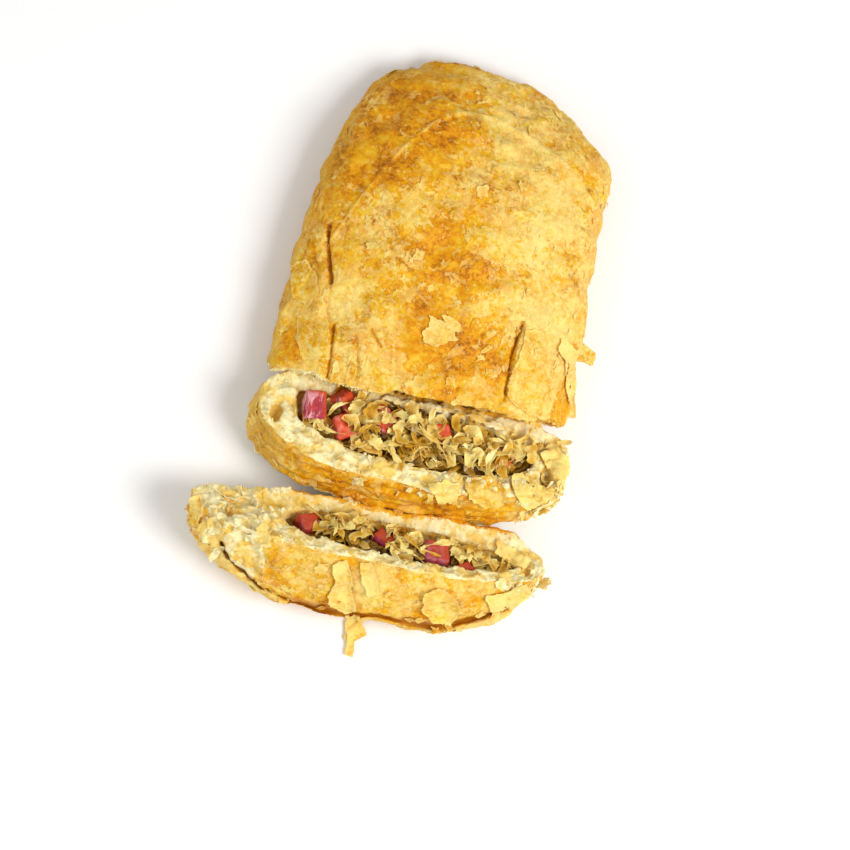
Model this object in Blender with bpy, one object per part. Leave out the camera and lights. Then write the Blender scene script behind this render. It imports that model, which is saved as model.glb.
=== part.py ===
"""A sauerkraut and ham strudel in puff pastry, partly sliced.

The long loaf lies flat. Two slices cut from its front end have tipped forward, one against the
other, so that their cut faces look up and back. Each has a pastry crust, a sauerkraut filling that
runs through it and cubes of ham that show at the cuts. Metres, +Z up, +Y towards the loaf's closed
end, the origin under the middle of the whole.
"""

import math
import random

import bmesh
import bpy
from mathutils import Matrix, Vector, noise

GAP = 0.0004  # clearance between pieces that touch

# The loaf that is left uncut
LOAF_LENGTH = 0.180
LOAF_HEIGHT = 0.051
LOAF_LEFT, LOAF_RIGHT = 0.079, 0.081  # half widths at the cut, from the loaf's own middle line
LOAF_NARROWING = 0.12  # share of the half width lost from the cut to the closed end
LOAF_CUT_Y = -0.0375
CUT_SLANT = 0.08  # the knife went across slightly askew: metres of y for each metre of x
CUT_OVERHANG = 0.0065  # how far the top crust stands out over the cut at its middle
MIDDLE_X = 0.0

# The middle slice, cut through on both sides, and the end piece with the strudel's other end
SLICE_THICKNESS, SLICE_HEIGHT = 0.030, 0.051
SLICE_LEFT, SLICE_RIGHT = 0.082, 0.086
SLICE_TIPPED = math.radians(66)
SLICE_PIVOT_Y = -0.0560  # where its lower front edge stands

END_LENGTH, END_HEIGHT = 0.050, 0.041
END_LEFT, END_RIGHT = 0.099, 0.088
END_TIPPED = math.radians(42)
END_SETTLED = 0.0075  # its rounded end lets it sit this much lower than a square corner would
END_PIVOT_Y = -0.1435

SLICE_YAW = math.radians(4.2)

# The pastry
BASE_WALL, TOP_WALL = 0.0036, 0.0075
FLAKE_SIZE, FLAKE_HEIGHT = 0.013, 0.0018
CRUMB_HEIGHT = 0.0012
BASE_PRESS = 0.003  # how far the soft base is pressed flat

# The filling
HAM_SIDE = 0.0130
SHRED_WIDTH, SHRED_THICKNESS, SHRED_LENGTH = 0.0040, 0.0022, 0.026

# Points round a section, sections along the outside, steps along a shred
LOAF_POINTS, SLICE_POINTS = 120, 112
LOAF_SECTIONS, SLICE_SECTIONS, END_SECTIONS = 60, 10, 24
SHRED_STEPS = 3
GRID = 0.0008  # fineness at which joined pieces are made one skin
LOAF_CRUST_FACETS, SLICE_CRUST_FACETS, END_CRUST_FACETS = 4800, 1700, 2500
LOAF_FILLING_FACETS, SLICE_FILLING_FACETS, END_FILLING_FACETS = 900, 2050, 1350

COLOURS = {
    "crust": ((0.72, 0.42, 0.10, 1), 0.6),
    "sauerkraut": ((0.62, 0.52, 0.18, 1), 0.4),
    "ham": ((0.62, 0.12, 0.11, 1), 0.35),
}


def clear_scene():
    for thing in list(bpy.data.objects):
        bpy.data.objects.remove(thing)


def material(name):
    """A plain Principled finish, made once for each name."""
    found = bpy.data.materials.get(name)
    if found:
        return found
    made = bpy.data.materials.new(name)
    made.use_nodes = True
    shader = made.node_tree.nodes["Principled BSDF"]
    colour, roughness = COLOURS[name]
    shader.inputs["Base Color"].default_value = colour
    shader.inputs["Roughness"].default_value = roughness
    return made


def new_object(name, mesh_maker, finish):
    """An object whose mesh is filled in by mesh_maker(bm)."""
    bm = bmesh.new()
    mesh_maker(bm)
    bmesh.ops.recalc_face_normals(bm, faces=bm.faces)
    mesh = bpy.data.meshes.new(name)
    bm.to_mesh(mesh)
    bm.free()
    mesh.materials.append(material(finish))
    thing = bpy.data.objects.new(name, mesh)
    bpy.context.scene.collection.objects.link(thing)
    return thing


def smoothstep(low, high, value):
    share = min(1.0, max(0.0, (value - low) / (high - low)))
    return share * share * (3 - 2 * share)


# Outlines of the strudel's upright cross-section, as (x, z) at an angle from its right side


def power(value, exponent):
    return math.copysign(abs(value) ** exponent, value)


def crust_outline(angle, left, right, height):
    """The outside: a flat base, full sides and a low dome."""
    across, up = math.cos(angle), math.sin(angle)
    x = (right if across > 0 else left) * power(across, 0.78)
    side = 0.34 * height
    if up >= 0:
        return x, side + (height - side) * up**0.92
    return x, max(0.0, side - (side + BASE_PRESS) * (-up) ** 0.5)


def hollow_outline(angle, left, right, height):
    """The inside, which the filling takes up. The walls are thin above and below, and the
    dough is folded thick at the sides."""
    across, up = math.cos(angle), math.sin(angle)
    x = (right if across > 0 else left) * power(across, 0.85)
    middle = 0.42 * height
    if up >= 0:
        return x, middle + (height - TOP_WALL - middle) * up**0.95
    return x, middle - (middle - BASE_WALL) * (-up) ** 0.8


def angles(count):
    """Angles that put points closer together at the round sides than along top and base."""
    return [
        math.tau * i / count - 0.16 * math.sin(2 * math.tau * i / count)
        for i in range(count)
    ]


def stations(count, crowding):
    """Shares of a length, crowded towards its rounded end, which is left out."""
    return [1 - (1 - i / count) ** crowding for i in range(count)]


def ring(outline, count, place, *sizes):
    """The outline's points, each given its place in space by place(x, z)."""
    return [place(*outline(a, *sizes)) for a in angles(count)]


def skin(bm, rings, loop=False):
    """Faces between each ring and the next. Without loop, both ends are closed at a middle
    point."""
    rows = [[bm.verts.new(p) for p in points] for points in rings]
    count = len(rows[0])
    pairs = list(zip(rows, rows[1:] + rows[:1] if loop else rows[1:]))
    for a, b in pairs:
        for i in range(count):
            j = (i + 1) % count
            bm.faces.new((a[i], a[j], b[j], b[i]))
    if loop:
        return
    for row in (rows[0], rows[-1]):
        pole = bm.verts.new(sum((v.co for v in row), Vector()) / count)
        for i in range(count):
            bm.faces.new((pole, row[i], row[(i + 1) % count]))


# Relief of baked puff pastry


def drift(where):
    """A smooth wandering offset."""
    offsets = (Vector((0, 0, 0)), Vector((17.3, 0, 0)), Vector((0, 29.1, 0)))
    return Vector([noise.noise(where + offset) for offset in offsets])


def flake_relief(point, seed):
    """Height of the flaky layers at a point: plates of different heights over soft blisters."""
    where = point / FLAKE_SIZE + Vector((seed, 0, 0))
    bent = where + 0.5 * drift(where * 0.8)
    plate = noise.cell(noise.voronoi(bent)[1][0] * 7.3)
    blister = noise.noise(point / (0.7 * FLAKE_SIZE))
    return FLAKE_HEIGHT * (plate - 0.5 + 0.5 * blister)


def press(normal):
    """Share of the relief that is left on the base, which baked against the tin."""
    return 0.25 if normal.z < -0.6 else 1.0


def crumb_relief(point):
    """Height of the torn dough at a cut."""
    return CRUMB_HEIGHT * noise.noise(point / 0.006)


def displace(bm, height_at):
    """Moves each point along its normal by height_at(point, normal)."""
    bm.normal_update()
    moves = [(v, v.normal * height_at(v.co, v.normal)) for v in bm.verts]
    for v, move in moves:
        v.co += move


# The loaf


def loaf_sizes(share):
    """Left and right half width and height at a share of the loaf's length from the cut."""
    bulge = 0.02 * math.sin(math.pi * min(1.0, share / 0.6))
    left = (1 + bulge) * (1 - smooth_end(share, 0.45) ** 2.6) ** (1 / 3)
    corner = 1 - 0.24 * smoothstep(0.80, 0.95, share)
    right = (1 - LOAF_NARROWING * min(1.0, 2 * share)) * corner
    right *= (1 - smooth_end(share, 0.62) ** 3.6) ** (1 / 2.4)
    swell = 0.93 + 0.07 * math.sin(math.pi * min(1.0, share / 0.8))
    height = swell * (1 - 0.92 * smooth_end(share, 0.42) ** 2.6) ** 0.62
    return LOAF_LEFT * left, LOAF_RIGHT * right, LOAF_HEIGHT * height


def smooth_end(share, start):
    return max(0.0, (share - start) / (1 - start))


def loaf_place(share):
    """Where a section's (x, z) lies in space at a share of the length from the cut. At the cut
    the top crust bows out over the slice in front."""
    slant = CUT_SLANT * (1 - share)
    bow = CUT_OVERHANG * (1 - share) ** 4

    def place(x, z):
        y = LOAF_CUT_Y + share * LOAF_LENGTH + slant * x
        y -= bow * smoothstep(0.031, 0.045, z) * max(0.0, 1 - (x / LOAF_LEFT) ** 2)
        return Vector((MIDDLE_X + x, y, z))

    return place


def fold_line(x):
    """The y of the arched edge where the closed end's dough is folded over the top."""
    apex_x, apex_y = -0.010, 0.112
    bend = 26.5 if x < apex_x else 5.4
    return apex_y - bend * (x - apex_x) ** 2


def loaf_features(point, normal):
    """The loaf's own creases: the fold over its closed end, the seam down its left side, the
    crack and the lifted plate of crust at its right front."""
    x, y, z = point
    if z < 0.012 or normal.z < 0.1:
        return 0.0
    beyond_fold = y - fold_line(x)
    height = -0.0022 * smoothstep(-0.002, 0.003, beyond_fold)
    height += 0.0012 * math.exp(-((beyond_fold / 0.004) ** 2))
    from_seam = x + 0.0605 + 0.29 * y
    if y < 0.06:
        height -= 0.0026 * smoothstep(0.003, -0.002, from_seam)
    from_crack = x - 0.0405
    if y < 0.010:
        height += 0.0020 * smoothstep(0.0, 0.004, from_crack) * smoothstep(
            0.029, 0.024, from_crack
        )
        height -= 0.0018 * math.exp(-((from_crack / 0.003) ** 2))
    return height


LOAF_HOLLOW = (0.062, 0.060, 0.044)  # left, right and height of the filling at the cut
LOAF_HOLLOW_SHARES = (0.0, 0.10, 0.32, 0.54, 0.70, 0.76, 0.78)


def hollow_sizes(share):
    """The filling's sizes inside the loaf, closing towards the folded end."""
    closing = (1 - (share / 0.80) ** 4) ** 0.5
    left, right, height = LOAF_HOLLOW
    return left * closing, right * closing, height * (0.5 + 0.5 * closing)


def loaf_crust():
    shares = stations(LOAF_SECTIONS, 1.55)
    hollow = [
        ring(hollow_outline, LOAF_POINTS, loaf_place(s), *hollow_sizes(s))
        for s in reversed(LOAF_HOLLOW_SHARES)
    ]
    cut_inner = hollow[-1]
    outside = [
        ring(crust_outline, LOAF_POINTS, loaf_place(s), *loaf_sizes(s))
        for s in shares
    ]
    cut_outer = outside[0]
    cut = [
        [a.lerp(b, share) for a, b in zip(cut_inner, cut_outer)]
        for share in (0.2, 0.4, 0.6, 0.8)
    ]

    def make(bm):
        skin(bm, hollow + cut + outside)
        at_cut = {tuple(p) for points in cut for p in points}
        inside = {tuple(p) for points in hollow for p in points}

        def height_at(point, normal):
            if tuple(point) in at_cut:
                return crumb_relief(point)
            if tuple(point) in inside or point.z < 0.004:
                return 0.0
            return flake_relief(point, 3.1) + loaf_features(point, normal)

        displace(bm, height_at)

    crust = new_object("loaf_crust", make, "crust")
    apply_boolean(crust, "UNION", gathered("flake", [side_flake()]), "MANIFOLD")
    return crust


def side_flake():
    """A loose tongue of baked dough that sticks out of the loaf's right side."""
    rows = []
    steps = 6
    for step in range(steps + 1):
        share = step / steps
        x = MIDDLE_X + 0.066 + 0.021 * share
        z = 0.0215 + 0.004 * math.sin(2.6 * share)
        half = 0.0062 * (1 - 0.45 * share**2) * (1 + 0.12 * math.sin(9 * share))
        y = 0.0085 - 0.003 * share
        low, high = Vector((0, 0, -0.0007)), Vector((0, 0, 0.0007))
        front, rear = Vector((x, y - half, z - 0.001)), Vector((x, y + half, z + 0.0012))
        rows.append([front + low, rear + low, rear + high, front + high])
    return new_object("side_flake", lambda bm: skin(bm, rows), "crust")


def cap_rings(edge, outward, bulge, seed, shares=(0.85, 0.6, 0.32)):
    """Rings that close a filling's cut face, domed by bulge and bumpy with shreds."""
    middle = sum(edge, Vector()) / len(edge)
    rings = []
    for share in shares:
        dome = bulge * (1 - share**2)
        points = [middle.lerp(p, share) for p in edge]
        rings.append(
            [
                p + outward * (dome + 0.0016 * noise.noise(p / 0.009 + Vector((seed, 0, 0))))
                for p in points
            ]
        )
    return rings


# Shreds of sauerkraut: strips that lie on the filling's cut face


def add_shred(bm, length, curl, width, matrix):
    """One strip, curved in its own plane and lifted at one end."""
    rows = []
    for step in range(SHRED_STEPS + 1):
        along = step / SHRED_STEPS - 0.5
        turn = curl * along
        spot = Vector((length * along, 0.5 * length * curl * along**2, 0))
        spot.z = 0.0022 * math.sin(2.2 * math.pi * along)
        side = Vector((-math.sin(turn), math.cos(turn), 0.35 * math.sin(5 * along)))
        half = side.normalized() * width / 2 * (1 - 1.2 * along**2)
        up = Vector((0, 0, SHRED_THICKNESS))
        corners = (spot - half, spot + half, spot + up)
        rows.append([bm.verts.new(matrix @ c) for c in corners])
    for a, b in zip(rows, rows[1:]):
        for i in range(3):
            bm.faces.new((a[i], a[(i + 1) % 3], b[(i + 1) % 3], b[i]))
    bm.faces.new(rows[0])
    bm.faces.new(rows[-1])


def face_frame(origin, outward):
    """A matrix whose z looks out of a cut face and whose x runs across the strudel."""
    z = outward.normalized()
    x = (Vector((1, 0, 0)) - z * z.x).normalized()
    y = z.cross(x)
    turned = Matrix((x, y, z)).transposed().to_4x4()
    return Matrix.Translation(origin) @ turned


def strip_inside(x, y, turn, length, half_x, half_y):
    """Whether both ends of a strip lie well inside an oval."""
    for end in (-0.5, 0.5):
        far_x = (x + end * length * math.cos(turn)) / (half_x - 0.003)
        far_y = (y + end * length * math.sin(turn)) / (half_y - 0.003)
        if far_x**2 + far_y**2 > 0.92:
            return False
    return True


def shred_objects(name, edge, outward, bulge, count, seed):
    """Strips scattered on a cut face. Each stays inside the face's edge."""
    draw = random.Random(seed)
    middle = sum(edge, Vector()) / len(edge)
    frame = face_frame(middle, outward)
    inverse = frame.inverted()
    flat = [inverse @ p for p in edge]
    half_x = min(max(p.x for p in flat), -min(p.x for p in flat))
    half_y = min(max(p.y for p in flat), -min(p.y for p in flat))
    made = []
    tries = 0
    while len(made) < count:
        number = len(made)
        length = SHRED_LENGTH * draw.uniform(0.65, 1.15)
        around = number * 2.39996 + draw.uniform(-0.3, 0.3)
        reach = 0.95 * math.sqrt((number + 0.5) / count) * 0.96**tries
        turn = draw.choice((-1, 1)) * draw.uniform(0.0, 0.9)
        x = reach * math.cos(around) * half_x
        y = reach * math.sin(around) * half_y
        tries += 1
        if not strip_inside(x, y, turn, length, half_x, half_y):
            continue
        tries = 0
        dome = bulge * (1 - (x / half_x) ** 2) * (1 - (y / half_y) ** 2)
        matrix = (
            frame
            @ Matrix.Translation((x, y, dome + draw.uniform(0.0002, 0.0014)))
            @ Matrix.Rotation(turn, 4, "Z")
            @ Matrix.Rotation(draw.uniform(-0.2, 0.2), 4, "Y")
        )
        curl = draw.uniform(-1.6, 1.6)
        width = SHRED_WIDTH * draw.uniform(0.75, 1.25)
        made.append(
            new_object(
                f"{name}_{number}",
                lambda bm: add_shred(bm, length, curl, width, matrix),
                "sauerkraut",
            )
        )
    return made


# Ham cubes


def ham_cube(name, centre, frame, size, turn):
    """A cube of ham, uneven and soft at its edges, half sunk into a cut face."""
    draw = random.Random(name)

    def make(bm):
        bmesh.ops.create_cube(bm, size=1)
        for v in bm.verts:
            v.co += Vector(draw.uniform(-0.09, 0.09) for _ in range(3))
        bmesh.ops.bevel(
            bm, geom=bm.edges[:], offset=0.09, segments=1, affect="EDGES", profile=0.5
        )
        turned = Matrix.Rotation(turn, 4, "Z") @ Matrix.Rotation(0.35 * turn + 0.2, 4, "X")
        bm.transform(frame @ Matrix.Translation(centre) @ turned @ Matrix.Diagonal((*size, 1)))

    return new_object(name, make, "ham")


# Joining and cutting


def apply_boolean(thing, operation, collection, solver="EXACT"):
    """One Boolean with every object of a collection, applied. The objects are then removed."""
    modifier = thing.modifiers.new("join", "BOOLEAN")
    modifier.operation = operation
    modifier.solver = solver
    modifier.operand_type = "COLLECTION"
    modifier.collection = collection
    graph = bpy.context.evaluated_depsgraph_get()
    mesh = bpy.data.meshes.new_from_object(thing.evaluated_get(graph))
    thing.modifiers.clear()
    thing.data = mesh
    for other in list(collection.objects):
        bpy.data.objects.remove(other)
    bpy.data.collections.remove(collection)


def gathered(name, things):
    collection = bpy.data.collections.new(name)
    bpy.context.scene.collection.children.link(collection)
    for thing in things:
        bpy.context.scene.collection.objects.unlink(thing)
        collection.objects.link(thing)
    return collection


def one_skin(thing, facets):
    """Wraps a joined piece in one closed skin and thins that out to a number of facets."""
    wrap = thing.modifiers.new("wrap", "REMESH")
    wrap.mode = "VOXEL"
    wrap.voxel_size = GRID
    graph = bpy.context.evaluated_depsgraph_get()
    wrapped = 2 * len(thing.evaluated_get(graph).data.polygons)
    thin = thing.modifiers.new("thin", "DECIMATE")
    thin.ratio = facets / wrapped
    graph = bpy.context.evaluated_depsgraph_get()
    mesh = bpy.data.meshes.new_from_object(thing.evaluated_get(graph))
    thing.modifiers.clear()
    thing.data = mesh


def keep_largest(thing):
    """Removes loose scraps that a cut has left, also one that hangs by a single point."""
    bm = bmesh.new()
    bm.from_mesh(thing.data)
    unseen = set(bm.faces)
    islands = []
    while unseen:
        stack = [unseen.pop()]
        island = set(stack)
        while stack:
            for edge in stack.pop().edges:
                for face in edge.link_faces:
                    if face in unseen:
                        unseen.remove(face)
                        island.add(face)
                        stack.append(face)
        islands.append(island)
    largest = max(islands, key=len)
    loose = [f for f in bm.faces if f not in largest]
    bmesh.ops.delete(bm, geom=loose, context="FACES")
    bm.to_mesh(thing.data)
    bm.free()


def grown_copy(thing, by):
    """A copy pushed out along its normals, to cut the room that a piece sits in."""
    copy = thing.copy()
    copy.data = thing.data.copy()
    bpy.context.scene.collection.objects.link(copy)
    bm = bmesh.new()
    bm.from_mesh(copy.data)
    bm.normal_update()
    for v in bm.verts:
        v.co += v.normal * by * v.calc_shell_factor()
    bm.to_mesh(copy.data)
    bm.free()
    return copy


def finish_crust(crust, hams, facets):
    """Moulds the dough to the ham beside it, makes all of it one even skin and presses what
    lies on the ground flat against it."""
    cutters = [grown_copy(h, 3 * GAP) for h in hams]
    apply_boolean(crust, "DIFFERENCE", gathered("moulds", cutters), "MANIFOLD")
    one_skin(crust, facets)
    keep_largest(crust)
    for v in crust.data.vertices:
        if v.co.z < 0.0006:
            v.co.z = 0.0
    crust.data.materials.clear()
    crust.data.materials.append(material("crust"))


def finish_filling(core, shreds, hams, facets):
    """Fuses the shreds to the core, cuts out the places where the ham sits and makes all of it
    one even skin of a given number of facets."""
    apply_boolean(core, "UNION", gathered("shreds", shreds), "MANIFOLD")
    cutters = [grown_copy(h, 3 * GAP) for h in hams]
    apply_boolean(core, "DIFFERENCE", gathered("pockets", cutters), "MANIFOLD")
    one_skin(core, facets)
    keep_largest(core)
    core.data.materials.clear()
    core.data.materials.append(material("sauerkraut"))


# The filling of the loaf, whose cut face looks towards the slices

LOAF_HAM = (
    # x and z on the cut face, turn
    (-0.036, 0.022, 0.5),
    (0.004, 0.018, -0.4),
    (0.034, 0.021, 0.9),
)


def loaf_filling(crust):
    rows = [
        ring(hollow_outline, LOAF_POINTS, loaf_place(s), *hollow_sizes(s))
        for s in LOAF_HOLLOW_SHARES[:-1]
    ]
    outward = Vector((CUT_SLANT, -1, 0)).normalized()
    count = LOAF_POINTS // 4
    chosen = rows[0][:: LOAF_POINTS // count]
    drawn_in = cap_rings(chosen, outward, 0.0008, 1.0)
    middle = sum(chosen, Vector()) / count
    edge = [p + (middle - p).normalized() * 3 * GAP for p in chosen]

    def make(bm):
        sides = []
        for points in rows:
            thinned = points[:: LOAF_POINTS // count]
            centre = sum(thinned, Vector()) / count
            sides.append(
                [p + (centre - p).normalized() * 3 * GAP for p in thinned]
            )
        skin(bm, list(reversed(drawn_in)) + sides)

    core = new_object("loaf_filling", make, "sauerkraut")
    shreds = shred_objects("loaf_shred", edge, outward, 0.0004, 12, 5)
    frame = face_frame(Vector((MIDDLE_X, LOAF_CUT_Y, 0)), outward)
    hams = []
    for number, (x, z, turn) in enumerate(LOAF_HAM, 1):
        size = (HAM_SIDE, HAM_SIDE * 0.9, HAM_SIDE * 0.9)
        centre = Vector((x, z, -0.0050))
        hams.append(ham_cube(f"loaf_ham_{number}", centre, frame, size, turn))
    finish_filling(core, shreds, hams, LOAF_FILLING_FACETS)
    finish_crust(crust, hams, LOAF_CRUST_FACETS)


# The slices. Each is modelled upright, its rear cut face at y = 0 and its front at y = -depth,
# and then tipped forward about its lower front edge.


def tipped(pivot_y, depth, lean, drop=0.0):
    return (
        Matrix.Translation((MIDDLE_X, pivot_y, -drop))
        @ Matrix.Rotation(SLICE_YAW, 4, "Z")
        @ Matrix.Rotation(lean, 4, "X")
        @ Matrix.Translation((0, depth, 0))
    )


def at_depth(y):
    return lambda x, z: Vector((x, y, z))


def carve_bubbles(crust, bubbles):
    """Cuts the open bubbles between the layers of dough into the upright rear cut."""
    cutters = []
    for number, (x, z, half_x, half_z, deep) in enumerate(bubbles):

        def make(bm):
            bmesh.ops.create_icosphere(bm, subdivisions=2, radius=1)
            bm.transform(Matrix.Translation((x, 0, z)) @ Matrix.Diagonal((half_x, deep, half_z, 1)))

        cutters.append(new_object(f"bubble_{number}", make, "crust"))
    apply_boolean(crust, "DIFFERENCE", gathered("bubbles", cutters), "MANIFOLD")


# x and z in the cut, half width, half height and depth
SLICE_BUBBLES = (
    (-0.0715, 0.0240, 0.0040, 0.0065, 0.007),
    (0.0745, 0.0270, 0.0042, 0.0080, 0.010),
    (0.0700, 0.0105, 0.0050, 0.0036, 0.007),
)
END_BUBBLES = (
    (-0.0790, 0.0230, 0.0105, 0.0032, 0.008),
    (-0.0700, 0.0120, 0.0070, 0.0026, 0.006),
    (0.0780, 0.0200, 0.0040, 0.0055, 0.007),
)


SLICE_HOLLOW = (0.060, 0.066, 0.0455)
SLICE_HAM = (
    # x and z on the rear cut face, turn, size
    (-0.0530, 0.0160, 0.15, 1.1),
    (-0.0365, 0.0090, 0.9, 0.8),
    (-0.0360, 0.0245, 0.5, 0.9),
    (-0.0160, 0.0165, -0.5, 0.95),
    (0.0140, 0.0180, 0.35, 0.95),
    (0.0500, 0.0190, 0.8, 0.75),
)


def slice_crust():
    depth = SLICE_THICKNESS
    sizes = (SLICE_LEFT, SLICE_RIGHT, SLICE_HEIGHT)
    outside_at = [-depth * i / SLICE_SECTIONS for i in range(SLICE_SECTIONS + 1)]
    outside = []
    for y in outside_at:
        belly = 1 + 0.02 * math.sin(-math.pi * y / depth)
        outside.append(
            ring(crust_outline, SLICE_POINTS, at_depth(y), *(s * belly for s in sizes))
        )
    inside = [
        ring(hollow_outline, SLICE_POINTS, at_depth(y), *SLICE_HOLLOW)
        for y in (-depth, -depth / 2, 0.0)
    ]
    between = (0.2, 0.4, 0.6, 0.8)
    front = [[a.lerp(b, s) for a, b in zip(outside[-1], inside[0])] for s in between]
    rear = [[a.lerp(b, s) for a, b in zip(inside[-1], outside[0])] for s in between]

    def make(bm):
        skin(bm, outside + front + inside + rear, loop=True)
        inner = {tuple(p) for points in inside for p in points}
        cuts = {tuple(p) for points in front + rear for p in points}

        def height_at(point, normal):
            if tuple(point) in inner:
                return 0.0
            if tuple(point) in cuts:
                return 1.4 * crumb_relief(point)
            return press(normal) * 0.8 * flake_relief(point, 9.7)

        displace(bm, height_at)

    crust = new_object("slice_crust", make, "crust")
    carve_bubbles(crust, SLICE_BUBBLES)
    matrix = tipped(SLICE_PIVOT_Y, depth, SLICE_TIPPED)
    crust.data.transform(matrix)
    return crust, matrix


def slice_filling(crust, matrix):
    depth = SLICE_THICKNESS
    count = SLICE_POINTS // 4
    step = SLICE_POINTS // count
    rows = []
    for y in (0.0, -depth / 2, -depth):
        points = ring(hollow_outline, SLICE_POINTS, at_depth(y), *SLICE_HOLLOW)[::step]
        middle = sum(points, Vector()) / count
        rows.append([p + (middle - p).normalized() * 3 * GAP for p in points])
    back, front = Vector((0, 1, 0)), Vector((0, -1, 0))
    rear_cap = cap_rings(rows[0], back, 0.0025, 2.0)
    front_cap = cap_rings(rows[-1], front, 0.0, 4.0, (0.6,))

    def make(bm):
        skin(bm, list(reversed(rear_cap)) + rows + front_cap)
        bm.transform(matrix)

    core = new_object("slice_filling", make, "sauerkraut")
    turned = matrix.to_3x3()
    edge = [matrix @ p for p in rows[0]]
    shreds = shred_objects("slice_shred", edge, turned @ back, 0.0025, 36, 11)
    frame = matrix @ face_frame(Vector((0, 0, 0)), back)
    hams = []
    for number, (x, z, turn, scale) in enumerate(SLICE_HAM, 1):
        side = HAM_SIDE * scale
        on_face = frame.inverted() @ matrix @ Vector((x, -0.1 * side, z))
        size = (side, side * 1.12, side)
        hams.append(ham_cube(f"slice_ham_{number}", on_face, frame, size, turn))
    finish_filling(core, shreds, hams, SLICE_FILLING_FACETS)
    finish_crust(crust, hams, SLICE_CRUST_FACETS)


END_HOLLOW = (0.052, 0.074, 0.0395)
END_SUNK = 0.0050  # how far the end piece's filling lies below its cut
END_HAM = (
    (-0.0380, 0.0150, 0.4, 0.75),
    (0.0020, 0.0170, -0.6, 0.85),
    (0.0300, 0.0190, 0.1, 1.05),
    (0.0455, 0.0260, 0.7, 0.6),
)


def end_sizes(share):
    """Half widths and height of the end piece at a share of its length from the cut."""
    wide = (1 - share**2.8) ** (1 / 2.4)
    tall = (1 - share**3.0) ** (1 / 2.2)
    return END_LEFT * wide, END_RIGHT * wide, END_HEIGHT * (0.12 + 0.88 * tall)


def end_hollow_sizes(share):
    closing = (1 - (share / 0.72) ** 3) ** 0.5
    left, right, height = END_HOLLOW
    return left * closing, right * closing, height * (0.55 + 0.45 * closing)


def end_lip(matrix):
    """The rim of the lower sheet of dough, which sticks out under the baked end and curls up
    a little. A thin strip in place, to be fused to the crust."""
    rows = []
    steps = 44
    for step in range(steps + 1):
        angle = math.radians(76) * (2 * step / steps - 1)
        across = math.sin(angle)
        share = (1 - abs(across) ** 2.4) ** (1 / 2.8)
        half = END_RIGHT if across > 0 else END_LEFT
        edge = matrix @ Vector((half * across, -share * END_LENGTH, 0))
        edge.z = max(0.0, edge.z)
        out = Vector((across, -0.3 - math.cos(angle), 0)).normalized()
        reach = 0.0030 + 0.0070 * share**2 + 0.0016 * noise.noise(Vector((6 * angle, 3, 0)))
        rise = Vector((0, 0, 0.0022 + 0.0016 * math.sin(9 * angle)))
        thick = Vector((0, 0, 0.0017))
        foot = edge - out * 0.010
        rim = edge + out * reach + rise
        knee = edge + out * 0.5 * reach
        rows.append([foot, knee, rim, rim + thick, knee + thick, foot + thick])
    return new_object("end_lip", lambda bm: skin(bm, rows), "crust")


def end_flake():
    """A thin loose tongue of baked dough that hangs from the lip and lies on the ground."""
    rows = []
    steps = 7
    for step in range(steps + 1):
        share = step / steps
        y = END_PIVOT_Y - 0.006 - 0.024 * share
        z = 0.0006 + 0.0068 * (1 - share) ** 2 + 0.0008 * math.sin(9 * share)
        x = MIDDLE_X + 0.0025 + 0.003 * math.sin(5 * share)
        half = 0.0036 * (1 - 0.35 * share) * (1 + 0.25 * math.sin(11 * share))
        low, high = Vector((0, 0, -0.0005)), Vector((0, 0, 0.0005))
        left, right = Vector((x - half, y, z)), Vector((x + half, y, z + 0.0006))
        rows.append([left + low, right + low, right + high, left + high])

    def make(bm):
        skin(bm, rows)

    return new_object("end_flake", make, "crust")


def end_crust():
    depth = END_LENGTH
    sunk = END_SUNK / depth
    hollow = [
        ring(hollow_outline, SLICE_POINTS, at_depth(-s * depth), *end_hollow_sizes(s))
        for s in (0.66, 0.62, 0.5, 0.25, sunk, 0.0)
    ]
    outside = []
    for share in stations(END_SECTIONS, 1.6):
        lift = 0.010 * smoothstep(0.45, 1.0, share)
        place = at_depth(-share * depth)
        sizes = end_sizes(share)
        points = ring(crust_outline, SLICE_POINTS, place, *sizes)
        outside.append([p + Vector((0, 0, lift)) for p in points])
    cut = [[a.lerp(b, s) for a, b in zip(hollow[-1], outside[0])] for s in (0.2, 0.4, 0.6, 0.8)]

    def make(bm):
        skin(bm, hollow + cut + outside)
        inner = {tuple(p) for points in hollow for p in points}
        cuts = {tuple(p) for points in cut for p in points}

        def height_at(point, normal):
            if tuple(point) in inner:
                return 0.0
            if tuple(point) in cuts:
                return 1.8 * crumb_relief(point)
            return press(normal) * flake_relief(point, 21.3)

        displace(bm, height_at)

    crust = new_object("end_crust", make, "crust")
    carve_bubbles(crust, END_BUBBLES)
    matrix = tipped(END_PIVOT_Y, depth, END_TIPPED, END_SETTLED)
    crust.data.transform(matrix)
    apply_boolean(crust, "UNION", gathered("lip", [end_lip(matrix), end_flake()]), "MANIFOLD")
    return crust, matrix


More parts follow.
